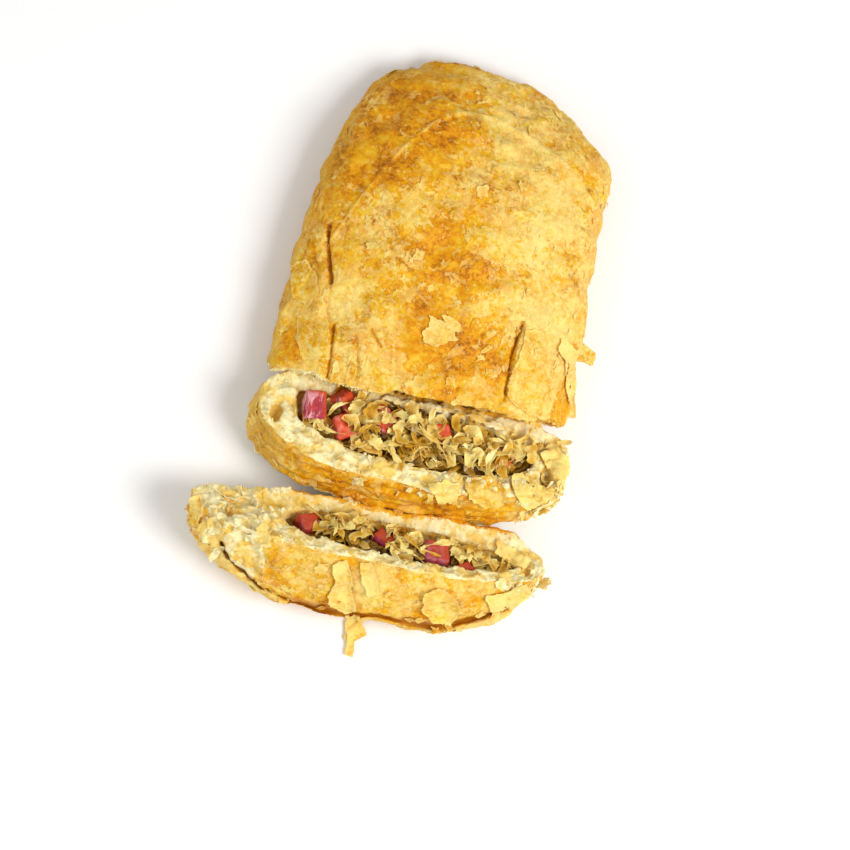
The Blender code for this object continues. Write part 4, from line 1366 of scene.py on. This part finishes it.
def flake_shape(rng, name):
    """One curled flake with a jagged outline, a unit wide."""
    obj = grid(name, 4, 3)
    points = points_of(obj)
    for i, (x, y, _) in enumerate(points):
        if max(abs(x), abs(y)) > 0.45:
            pull = rng.uniform(0.55, 1.25)
            points[i] = (x * pull, y * pull, 0)
    bend, twist = rng.uniform(0.1, 0.5), rng.uniform(-0.5, 0.5)
    points[:, 2] = bend * points[:, 0] ** 2 + twist * points[:, 0] * points[:, 1]
    points[:, 2] += [rng.uniform(-0.05, 0.05) for _ in points]
    set_points(obj, points)
    store(obj, "rim", [float(max(abs(x), abs(y)) > 0.3) for x, y, _ in points])
    apply_modifier(obj, "SOLIDIFY", thickness=0.05, offset=0)
    return obj


def crumb_shape(rng, name):
    """One lumpy crumb, a unit wide."""
    obj = ball(name, 0.5)
    points = points_of(obj)
    push = np.array([rng.uniform(0.62, 1.2) for _ in points])
    stretch = np.array([rng.uniform(0.7, 1.2) for _ in range(3)])
    set_points(obj, points * push[:, None] * stretch)
    return obj


def taken(obj):
    """The points, faces and rims of a model that is only copied, which is then removed."""
    rims = read(obj, "rim") if "rim" in obj.data.attributes else 0.0
    data = points_of(obj), [tuple(p.vertices) for p in obj.data.polygons], rims
    bpy.data.objects.remove(obj)
    return data


def scattered(name, shapes, placings):
    """One mesh of many copies: each placing is (shape number, 4x4 matrix, {attribute: value})."""
    vertices, faces, start = [], [], 0
    values = {key: [] for key in placings[0][2]}
    for number, matrix, given in placings:
        points, polygons, rims = shapes[number]
        vertices.append(moved_by(points, matrix))
        faces += [tuple(start + i for i in p) for p in polygons]
        for key, value in given.items():
            values[key].append(np.full(len(points), value) * (rims if key == "rim" else 1))
        start += len(points)
    obj = new_object(name, np.concatenate(vertices).tolist(), faces)
    for key, parts in values.items():
        store(obj, key, np.concatenate(parts))
    return obj


def frame_on(point, normal, turn, tilt, size):
    """A placing on the surface: z along the normal, turned, tilted and scaled."""
    return (
        Matrix.Translation(point)
        @ Vector(normal).to_track_quat("Z", "Y").to_matrix().to_4x4()
        @ Matrix.Rotation(turn, 4, "Z")
        @ Matrix.Rotation(tilt, 4, "Y")
        @ Matrix.Diagonal((*size, 1))
    )


class STRUDEL_OT_loose_flakes(bpy.types.Operator):
    """Scatters small curled flakes over the crusts"""

    bl_idname = "strudel.loose_flakes"
    bl_label = "Loose flakes"

    def execute(self, context):
        settings = context.scene.strudel_pastry
        rng = random.Random(7)
        shapes = [taken(flake_shape(rng, f"flake_{i}")) for i in range(FLAKE_KINDS)]
        placings = []
        for name, share in FLAKE_SHARES:
            crust, points, normals = crust_of(name)
            cut, tone = read(crust, "cut"), read(crust, "browning_light_and_shade")
            fit = np.nonzero((cut < 0.3) & (normals[:, 2] > 0.05) & (points[:, 2] > 0.006))[0]
            density = noise(points[fit], 0.02, 71, 2) + 0.25
            fit = fit[density > 0]
            for _ in range(int(settings.flakes * share)):
                i = fit[rng.randrange(len(fit))]
                size = rng.uniform(*FLAKE_SIZES)
                wide = size * rng.uniform(0.5, 1.0)
                matrix = frame_on(
                    points[i] + normals[i] * rng.uniform(0.0003, 0.0008),
                    normals[i],
                    rng.uniform(0, math.tau),
                    rng.uniform(-0.1, 0.1),
                    (size, wide, size * 0.35),
                )
                browning_light_and_shade = min(1, max(0, tone[i] + rng.choice((-0.28, -0.18, -0.1, 0.08))))
                given = {"browning_light_and_shade": browning_light_and_shade, "rim": 0.6, "olive_and_shade": 0.0}
                placings.append((rng.randrange(FLAKE_KINDS), matrix, given))
        obj = scattered("loose_flakes", shapes, placings)
        finish(obj, sheet_material(settings), "crust", thin=True)
        return {"FINISHED"}


class STRUDEL_OT_crumbs(bpy.types.Operator):
    """Scatters crumbs of dough over the cut edges"""

    bl_idname = "strudel.crumbs"
    bl_label = "Crumbs"

    def execute(self, context):
        settings = context.scene.strudel_pastry
        rng = random.Random(8)
        shapes = [taken(crumb_shape(rng, f"crumb_{i}")) for i in range(CRUMB_KINDS)]
        placings = []
        for name, count in CRUMB_COUNTS:
            crust, points, normals = crust_of(name)
            cut, high = read(crust, "cut"), points[:, 2]
            if name == "loaf":
                fit = np.nonzero((cut > 0.2) & (high > 0.030))[0]
            else:
                fit = np.nonzero((cut > 0.35) & (normals[:, 2] > 0.1) & (high > 0.004))[0]
            for _ in range(count):
                i = fit[rng.randrange(len(fit))]
                size = rng.uniform(*CRUMB_SIZES) * rng.uniform(0.6, 1.0)
                matrix = frame_on(
                    points[i] + normals[i] * size * 0.2,
                    normals[i],
                    rng.uniform(0, math.tau),
                    rng.uniform(-0.5, 0.5),
                    (size, size * rng.uniform(0.6, 1), size * 0.7),
                )
                given = {
                    "browning_light_and_shade": 0.2,
                    "olive_and_shade": 0.0,
                    "cut": rng.choice((1.0, 1.0, 0.9, 0.0)),
                    "near": rng.uniform(0, 0.35),
                }
                placings.append((rng.randrange(CRUMB_KINDS), matrix, given))
        obj = scattered("crumbs", shapes, placings)
        finish(obj, crust_material(settings), "crust")
        return {"FINISHED"}


# Torn dough


def on_cut(pixels, matrix, lift):
    """The points that appear at those pixels in the plane of a slice's upper cut."""
    out = np.array(matrix)[:3, 1]
    level = np.array(matrix @ Vector((0, lift, 0))) @ out
    flat = unseen(pixels)
    return flat + LOOK * ((level - flat @ out) / (LOOK @ out))[:, None]


# Chains of lumps of white dough on a cut: (x, y, radius) in pixels
LUMP_CHAINS = (
    ("slice", [(383, 399, 4), (398, 402, 6), (420, 407, 7), (445, 412, 7), (470, 418, 7),
        (490, 424, 6), (505, 430, 4)]),
    ("end", [(345, 497, 3), (353, 500, 5), (361, 503, 3)]),
)
# Where lumps of torn dough lie: on what, the outline in pixels, how many, their radius in pixels
LUMP_AREAS = (
    ("end", [(190, 488), (262, 488), (296, 512), (280, 545), (240, 556), (205, 530)], 70, 5.5),
    ("end", [(262, 484), (300, 487), (296, 490), (262, 490)], 16, 3.0),
    ("end", [(490, 548), (545, 566), (544, 592), (505, 586)], 36, 4.2),
    ("slice", [(508, 430), (556, 436), (568, 470), (556, 515), (515, 512), (512, 470)], 60, 4.4),
    ("slice", [(425, 474), (505, 470), (505, 492), (440, 492)], 30, 4.6),
)
# On what thin, ragged bits of dough stand, the outline in pixels, how many, and their length in
# metres
RAGGED = (
    ("slice", [(515, 425), (558, 432), (574, 470), (562, 522), (512, 522), (505, 482)], 34, 0.0095),
    ("slice", [(262, 425), (300, 425), (400, 470), (500, 470), (500, 505), (380, 490)], 12, 0.0060),
    ("end", [(188, 488), (250, 488), (280, 515), (275, 548), (235, 562), (195, 532)], 18, 0.0095),
    ("end", [(478, 540), (548, 560), (548, 596), (500, 600), (470, 575)], 16, 0.0100),
)


def bit_shape(rng, name):
    """One thin, crinkled and curled bit of dough with a ragged outline, a unit long."""
    obj = grid(name, 8, 5)
    points = points_of(obj)
    seed = rng.randrange(1000)
    reach = np.maximum(np.abs(points[:, 0]), np.abs(points[:, 1]))
    pull = 1 + 0.6 * noise(points + 3, 0.35, seed, 2) * ease(0.2, 0.5, reach)
    round_off = 1 - 0.25 * ease(0.4, 0.7, np.hypot(points[:, 0], points[:, 1]))
    points *= (pull * round_off)[:, None]
    bend, twist = rng.uniform(0.3, 1.1), rng.uniform(-0.6, 0.6)
    points[:, 2] = bend * points[:, 0] ** 2 + twist * points[:, 0] * points[:, 1]
    points[:, 2] += 0.12 * noise(points + 7, 0.3, seed, 2)
    set_points(obj, points)
    apply_modifier(obj, "SOLIDIFY", thickness=0.05, offset=0)
    return obj


def beads(name, balls):
    """Balls melted into one lumpy body: each is (centre, radius, axis along which it is flat)."""
    made = []
    for centre, radius, axis in balls:
        bead = ball("bead", radius)
        points = points_of(bead)
        axis = np.array(axis)
        points -= 0.5 * np.outer(points @ axis, axis)
        set_points(bead, points + np.array(centre))
        made.append(bead)
    obj = joined(name, made)
    fine_skin(obj, LUMP_VOXEL, 3)
    return obj


def within(points, normals, outline, facing, height):
    """The points that appear in an outline, face the camera and lie above that height."""
    fit = (inside(seen(points), outline) > 0) & (normals @ LOOK > facing)
    return np.nonzero(fit & (points[:, 2] > height))[0]


def dough_lumps(rng):
    """The lumps of white dough, as balls: (centre, radius, axis)."""
    balls = []
    for part, chain in LUMP_CHAINS:
        matrix = SLICE_MATRIX if part == "slice" else END_MATRIX
        out = matrix.to_3x3() @ Vector((0, 1, 0))
        for (ax, ay, ar), (bx, by, br) in zip(chain, chain[1:]):
            for k in range(5):
                t = (k + rng.uniform(0, 1)) / 5
                spot = (ax + (bx - ax) * t, ay + (by - ay) * t + rng.uniform(-1.6, 1.6))
                radius = (ar + (br - ar) * t) * GRAIN * rng.uniform(0.5, 1.0)
                balls.append((on_cut([spot], matrix, 0.0034)[0], radius, out))
    for part, outline, count, reach in LUMP_AREAS:
        _, points, normals = crust_of(part)
        fit = within(points, normals, outline, 0.1, 0.004)
        for _ in range(count):
            i = fit[rng.randrange(len(fit))]
            radius = reach * GRAIN * rng.uniform(0.2, 1.0)
            axis = Vector([rng.uniform(-1, 1) for _ in range(3)]).normalized()
            balls.append((points[i], radius, axis))
    return balls


def ragged_placings(rng):
    """Where the ragged bits of dough stand, and how baked each is."""
    placings = []
    for part, outline, count, long in RAGGED:
        _, points, normals = crust_of(part)
        fit = within(points, normals, outline, 0.05, 0.006)
        for _ in range(count):
            i = fit[rng.randrange(len(fit))]
            size = long * rng.uniform(0.4, 1.1)
            matrix = frame_on(
                points[i] + normals[i] * size * 0.12,
                normals[i],
                rng.uniform(0, math.tau),
                rng.uniform(0.1, 0.9) * rng.choice((-1, 1)),
                (size, size * rng.uniform(0.4, 0.9), size * rng.uniform(0.5, 1.2)),
            )
            given = {
                "browning_light_and_shade": rng.choice((0.0, 0.1, 0.3)),
                "cut": rng.choice((1.0, 1.0, 1.0, 0.9, 0.2)),
                "near": rng.uniform(0.0, 0.35) ** 2,
                "olive_and_shade": 0.0,
            }
            placings.append((rng.randrange(BIT_KINDS), matrix, given))
    return placings


class STRUDEL_OT_ragged_dough(bpy.types.Operator):
    """Adds the lumps of white dough on the cuts and the thin, ragged bits that stand on them"""

    bl_idname = "strudel.ragged_dough"
    bl_label = "Ragged dough"

    def execute(self, context):
        settings = context.scene.strudel_pastry
        material = crust_material(settings)
        rng = random.Random(9)
        obj = beads("torn_dough", dough_lumps(rng))
        points, normals = points_of(obj), normals_of(obj)
        rise = 0.0005 * noise(points, 0.0028, 38, 2) + 0.0003 * noise(points, 0.0014, 39)
        points += normals * rise[:, None]
        set_off_ground(obj, points)
        store(obj, "browning_light_and_shade", np.clip(0.1 + 0.3 * noise(points, 0.012, 40), 0, 1))
        store(obj, "cut", np.full(len(points), 1.0))
        store(obj, "near", np.clip(0.02 + 0.30 * noise(points, 0.010, 45, 2), 0, 1))
        finish(obj, material, "crust")
        shapes = [taken(bit_shape(rng, f"bit_{i}")) for i in range(BIT_KINDS)]
        obj = scattered("ragged_dough", shapes, ragged_placings(rng))
        set_off_ground(obj, points_of(obj))
        finish(obj, material, "crust", thin=True)
        return {"FINISHED"}


# The filling


def shred_shape(rng, name, long, wide, cup):
    """One shred of cabbage: a curved, cupped and slightly twisted strip with uneven edges."""
    obj = grid(name, 7, 3)
    points = points_of(obj)
    # The long edges, which the material paints paler: thin cabbage, and painted highlight
    store(obj, "rim", [float(abs(y) > 0.4) for _, y, _ in points])
    curve = rng.uniform(0.7, 2.6) * rng.choice((-1, 1))
    wave, phase = rng.uniform(0.0007, 0.0016), rng.uniform(0, 6)
    ruffle, shift = rng.uniform(0.15, 0.45), rng.uniform(0, 6)
    twist = rng.uniform(-1.0, 1.0)
    edges = [[rng.uniform(0.62, 1.2) for _ in range(8)] for _ in range(2)]
    for i, (x, y, _) in enumerate(points):
        t = min(1, max(0, x + 0.5))
        taper = 0.45 + 0.55 * math.sin(math.pi * t) ** 0.5
        across = y * wide * taper * edges[int(y > 0)][round(t * 7)]
        rise = wave * math.sin(phase + t * 8.5 + 3 * y) + cup * abs(y) * wide * taper
        rise += ruffle * abs(across) * math.sin(shift + t * 11 + (3 if y > 0 else 0))
        rise += across * math.sin(twist * x)
        across *= math.cos(twist * x)
        angle, radius = curve * x, long / curve
        points[i] = (
            (radius - across) * math.sin(angle),
            radius - (radius - across) * math.cos(angle),
            rise,
        )
    set_points(obj, points)
    apply_modifier(obj, "SOLIDIFY", thickness=SHRED_THICKNESS, offset=0)
    return obj


def overlap(points, out, ring, level):
    """The share of a shred's points that lie over the cut dough instead of the filling."""
    over = 0
    for point in points[::4].tolist():
        hit = ring.ray_cast(Vector(point) + out * 0.012, -out)[0]
        over += hit is not None and hit.dot(out) > level
    return over / len(points[::4])


# Each kind of shred: its length and width against the usual shred's, and how cupped it is
SHREDS = (
    (0.60, 1.00, 0.40), (0.70, 0.95, -0.30), (0.80, 0.85, 0.35), (0.90, 0.80, -0.25),
    (0.95, 0.70, 0.30), (1.00, 0.65, 0.20), (1.10, 0.60, -0.20), (1.25, 0.50, 0.20),
    (1.30, 0.38, 0.10), (1.40, 0.28, 0.10), (0.50, 0.85, 0.50), (0.62, 1.10, 0.45),
)
# Ham cubes that shreds lie over, and how many shreds lie over each
HAM_COVERS = {
    "slice": (("slice_ham_2", 2), ("slice_ham_3", 1), ("slice_ham_4", 3), ("slice_ham_5", 3),
        ("slice_ham_6", 5)),
    "end": (("end_ham_3", 1),),
}
# Each filling: piece, place, seed, how many shreds, and how high over its cut the lowest and the
# topmost of them lie. The loaf's is nearly hidden, so it is plainer and has no place of its own
FILLINGS = (
    ("loaf", None, 81, 110, -0.0022, 0.0008),
    ("slice", SLICE_MATRIX, 82, 440, -0.0034, 0.0030),
    ("end", END_MATRIX, 83, 260, -0.0030, 0.0028),
)


def filling_core(name, matrix, seed):
    """The body under the shreds, painted dark as the shade in the gaps between them, its points
    before their side at the cut is sunk, how far each faces out of the cut, and the way out."""
    core = welded_copy(f"{name}_core", f"{name}_filling")
    fine_skin(core, CORE_VOXEL, 2)
    points, normals = points_of(core), normals_of(core)
    if matrix is None:
        facing, out = -normals[:, 1], Vector((0, -1, 0))
    else:
        facing, out = upright_normals(normals, matrix)[:, 1], matrix.to_3x3() @ Vector((0, 1, 0))
    shown = ease(0.2, 0.7, facing)
    hollow = 0.0022 + 0.0020 * noise(points, 0.006, seed, 2)
    set_points(core, points - normals * (hollow * shown)[:, None])
    store(core, "tint", 0.25 + 0.3 * noise(points, 0.004, seed + 1))
    # Painted shade: the core is nearly black where it shows between the shreds
    store(core, "deep", 0.7 + 0.3 * ease(-0.2, 0.4, noise(points, 0.005, seed + 2)) * shown)
    store(core, "rim", np.zeros(len(points)))
    return core, points, facing, out


def leaning(rng, out):
    """A way that differs a little from the way out of the cut."""
    return (out + Vector([rng.uniform(-0.3, 0.3) for _ in range(3)])).normalized()


def shreds_over_ham(rng, name, out, kinds):
    """Where single shreds lie over the ham cubes."""
    placings = []
    for ham, count in HAM_COVERS.get(name, ()):
        corners = [Vector(corner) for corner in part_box(ham)]
        middle = (corners[0] + corners[1]) / 2
        tree = tree_of(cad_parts[ham])
        for _ in range(count):
            off = Vector([rng.uniform(-0.006, 0.006) for _ in range(3)])
            hit = tree.ray_cast(middle + off + out * 0.03, -out)[0]
            if hit is None:
                hit = middle + off + out * 0.006
            normal = leaning(rng, out)
            size = rng.uniform(0.7, 1.0)
            turned = frame_on(hit + out * 0.0012, normal, rng.uniform(0, math.tau), 0, (size,) * 3)
            which = rng.randrange(kinds)
            given = {"tint": rng.uniform(0.5, 1.0), "deep": 0.0, "rim": 1.0}
            placings.append((which, turned, given))
    return placings


def make_filling(name, matrix, seed, count, low, high, settings):
    """The core, painted dark as shade, with its shreds, as one piece. Deeper shreds are laid first
    and are painted darker as shade.
    """
    rng = random.Random(seed)
    core, points, facing, out = filling_core(name, matrix, seed)
    shapes = []
    for i, (long, wide, cup) in enumerate(SHREDS):
        long *= settings.shred_length * rng.uniform(0.85, 1.15)
        wide *= settings.shred_width * rng.uniform(0.85, 1.15)
        shapes.append(taken(shred_shape(rng, f"shred_{i}", long, wide, cup)))
    in_slice = matrix is not None
    if in_slice:
        ring = tree_of(bpy.data.objects[f"{name}_pastry"])
        level = (matrix @ Vector((0, -0.004, 0))).dot(out)
        low_side = upright(points, matrix)[:, 2] < 0.016
        open_gap = noise(points, 0.012, seed + 4, 2)
    fit = np.nonzero(facing > 0.35)[0]
    placings = []
    for number in range(1, count + 1):
        i = fit[rng.randrange(len(fit))]
        share = number / count
        height = low + (high - low) * share**1.3 + rng.uniform(-0.0006, 0.0006)
        normal = leaning(rng, out)
        at = Vector(points[i]) + out * height
        size = rng.uniform(0.75, 1.15)
        turn, tilt = rng.uniform(0, math.tau), rng.uniform(-0.2, 0.2)
        turned = frame_on(at, normal, turn, tilt, (size,) * 3)
        which = rng.randrange(len(shapes))
        # Painted shade: the lower a shred lies, the more greenish and dark it is
        tint = 0.05 + 0.65 * share + rng.uniform(-0.25, 0.35)
        deep = max(0.0, 0.68 - 1.2 * share) * rng.uniform(0.3, 1.0)
        if in_slice:
            if share > 0.3 and open_gap[i] > 0.36:
                continue
            there = moved_by(shapes[which][0], turned)
            most = 0.12 if low_side[i] else rng.uniform(0.15, 0.40)
            if overlap(there, out, ring, level) > most:
                continue
        placings.append((which, turned, {"tint": tint, "deep": deep, "rim": 1.0}))
    placings += shreds_over_ham(rng, name, out, len(shapes))
    obj = joined(f"{name}_sauerkraut", [core, scattered(f"{name}_shreds", shapes, placings)])
    set_off_ground(obj, points_of(obj))
    return obj


class STRUDEL_OT_sauerkraut(bpy.types.Operator):
    """Adds the sauerkraut of the loaf, the middle slice and the end piece"""

    bl_idname = "strudel.sauerkraut"
    bl_label = "Sauerkraut"

    def execute(self, context):
        settings = context.scene.strudel_filling
        material = cabbage_material(settings)
        for row in FILLINGS:
            obj = make_filling(*row, settings)
            finish(obj, material, "sauerkraut", f"{row[0]}_filling", thin=True)
        return {"FINISHED"}


# The ham

# How much of each cube's cut face is the orange, smoked outside
HAM_SMOKED = {
    "loaf": (0.1, 0.4, 0.2),
    "slice": (0.0, 0.6, 0.8, 0.45, 0.9, 0.3),
    "end": (0.5, 0.1, 0.0, 0.5),
}
# How much painted shade each filling's cubes get: those of the end piece lie deep
HAM_TINT = {"loaf": 0.05, "slice": 0.05, "end": 0.5}
# The cube that is smaller than its solid, and its size against it
SMALL_CUBE, SMALL_SCALE = "slice_ham_1", (0.76, 0.88, 0.88)


def make_ham(name, nodes, shares):
    """The cubes of one filling, with softened corners and slight dents."""
    obj = welded_copy(f"{name}_ham", *nodes)
    fine_skin(obj, HAM_VOXEL, 2)
    points, normals = points_of(obj), normals_of(obj)
    rise = 0.0008 * noise(points, 0.006, 91, 2) + 0.0004 * noise(points, 0.002, 92, 2)
    points += normals * rise[:, None]
    smoked = np.zeros(len(points))
    for node, share in zip(nodes, shares):
        corners = np.array([tuple(corner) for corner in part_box(node)])
        middle = corners.mean(0)
        own = (np.abs(points - middle) < (corners[1] - corners[0]) / 2 + 0.001).all(1)
        away = np.linalg.norm(seen(points[own]) - seen(middle[None]), axis=1)
        smoked[own] = share + 0.45 * ease(0.40, 0.85, away / away.max())
        if node == SMALL_CUBE:
            points[own] = middle + (points[own] - middle) * SMALL_SCALE
    set_points(obj, points)
    store(obj, "tint", np.full(len(points), HAM_TINT[name]) + 0.2 * noise(points, 0.01, 93))
    facing = ease(0.0, 0.6, normals[:, 0] + 0.5 * normals[:, 1] + 0.2)
    store(obj, "side", np.clip(0.8 * facing + smoked, 0, 1))
    return obj


class STRUDEL_OT_ham(bpy.types.Operator):
    """Adds the cubes of ham in each filling"""

    bl_idname = "strudel.ham"
    bl_label = "Ham cubes"

    def execute(self, context):
        material = ham_material(context.scene.strudel_filling)
        for name, shares in HAM_SMOKED.items():
            nodes = [f"{name}_ham_{i + 1}" for i in range(len(shares))]
            finish(make_ham(name, nodes, shares), material, "ham", *nodes)
        return {"FINISHED"}


# Stage

FLOOR_SIZE, FLOOR_DROP = 6, 0.0004  # the floor lies a little under the strudel, in metres
SKY_STRENGTH = 0.5
SENSOR = 36  # mm
# The lights: name, place, size in metres and colour
LIGHTS = (
    ("key", (0.75, -0.25, 1.15), 0.7, (1.0, 0.985, 0.96)),
    ("fill", (-0.9, -0.5, 0.9), 1.2, (0.97, 0.985, 1.0)),
)


class STRUDEL_OT_studio(bpy.types.Operator):
    """Adds the floor, the soft light and the camera"""

    bl_idname = "strudel.studio"
    bl_label = "Studio"

    def execute(self, context):
        settings = context.scene.strudel_stage
        bpy.ops.object.select_all(action="DESELECT")
        bpy.ops.mesh.primitive_plane_add(size=FLOOR_SIZE, location=(0, 0, -FLOOR_DROP))
        floor = context.active_object
        floor.name = "floor"
        bpy.ops.object.transform_apply(location=True, rotation=True, scale=True)
        material, tree, shader = new_material("Plain floor")
        speck = clouds(tree, place(tree), 0.05, 2.0)
        shade = remap(tree, speck, 0.0, 1.0, 0.98, 1.0)
        colour = blend(tree, shade, (0.8, 0.8, 0.8), settings.floor)
        tree.links.new(colour, shader.inputs["Base Color"])
        shader.inputs["Roughness"].default_value = 0.8
        floor.data.materials.append(material)
        target = Vector(AIM)
        powers = {"key": settings.key_power, "fill": settings.fill_power}
        for name, at, size, tint in LIGHTS:
            data = bpy.data.lights.new(name, "AREA")
            data.size, data.energy, data.color = size, powers[name], tint
            light = bpy.data.objects.new(name, data)
            context.scene.collection.objects.link(light)
            light.location = at
            light.rotation_euler = (target - Vector(at)).to_track_quat("-Z", "Y").to_euler()
        world = bpy.data.worlds.new("Studio")
        world.use_nodes = True
        sky = world.node_tree.nodes["Background"]
        sky.inputs["Color"].default_value = (1, 1, 1, 1)
        sky.inputs["Strength"].default_value = SKY_STRENGTH
        context.scene.world = world
        back = Vector(LOOK)
        turn = Matrix((ACROSS, UPWARD, LOOK)).transposed()
        data = bpy.data.cameras.new("camera")
        data.sensor_width = SENSOR
        data.lens = SENSOR * settings.distance / settings.width
        data.clip_start, data.clip_end = 0.1, 20
        camera = bpy.data.objects.new("camera", data)
        context.scene.collection.objects.link(camera)
        camera.matrix_world = Matrix.Translation(target + back * settings.distance) @ turn.to_4x4()
        context.scene.camera = camera
        context.scene.view_settings.view_transform = "Standard"
        return {"FINISHED"}


OPERATORS = (
    STRUDEL_OT_pastry,
    STRUDEL_OT_torn_sheets,
    STRUDEL_OT_large_flakes,
    STRUDEL_OT_loose_flakes,
    STRUDEL_OT_crumbs,
    STRUDEL_OT_ragged_dough,
    STRUDEL_OT_sauerkraut,
    STRUDEL_OT_ham,
    STRUDEL_OT_studio,
)


class STRUDEL_PT_panel(bpy.types.Panel):
    """Lists the pieces of the strudel"""

    bl_label = "Strudel"
    bl_idname = "STRUDEL_PT_panel"
    bl_space_type = "VIEW_3D"
    bl_region_type = "UI"
    bl_category = "Strudel"

    def draw(self, context):
        for operator in OPERATORS:
            self.layout.operator(operator.bl_idname)
        for name in SETTINGS:
            box = self.layout.box()
            group = getattr(context.scene, name)
            for key in group.bl_rna.properties.keys():
                if key not in ("rna_type", "name"):
                    box.prop(group, key)


SETTINGS = {
    "strudel_pastry": StrudelPastrySettings,
    "strudel_filling": StrudelFillingSettings,
    "strudel_stage": StrudelStageSettings,
}
CLASSES = (*SETTINGS.values(), *OPERATORS, STRUDEL_PT_panel)


def register():
    for cls in CLASSES:
        bpy.utils.register_class(cls)
    for name, cls in SETTINGS.items():
        setattr(bpy.types.Scene, name, PointerProperty(type=cls))


def unregister():
    for name in SETTINGS:
        delattr(bpy.types.Scene, name)
    for cls in reversed(CLASSES):
        bpy.utils.unregister_class(cls)


def main():
    register()
    bpy.ops.strudel.pastry()
    bpy.ops.strudel.torn_sheets()
    bpy.ops.strudel.large_flakes()
    bpy.ops.strudel.loose_flakes()
    bpy.ops.strudel.crumbs()
    bpy.ops.strudel.ragged_dough()
    bpy.ops.strudel.sauerkraut()
    bpy.ops.strudel.ham()
    bpy.ops.strudel.studio()


if __name__ == "__main__":
    main()
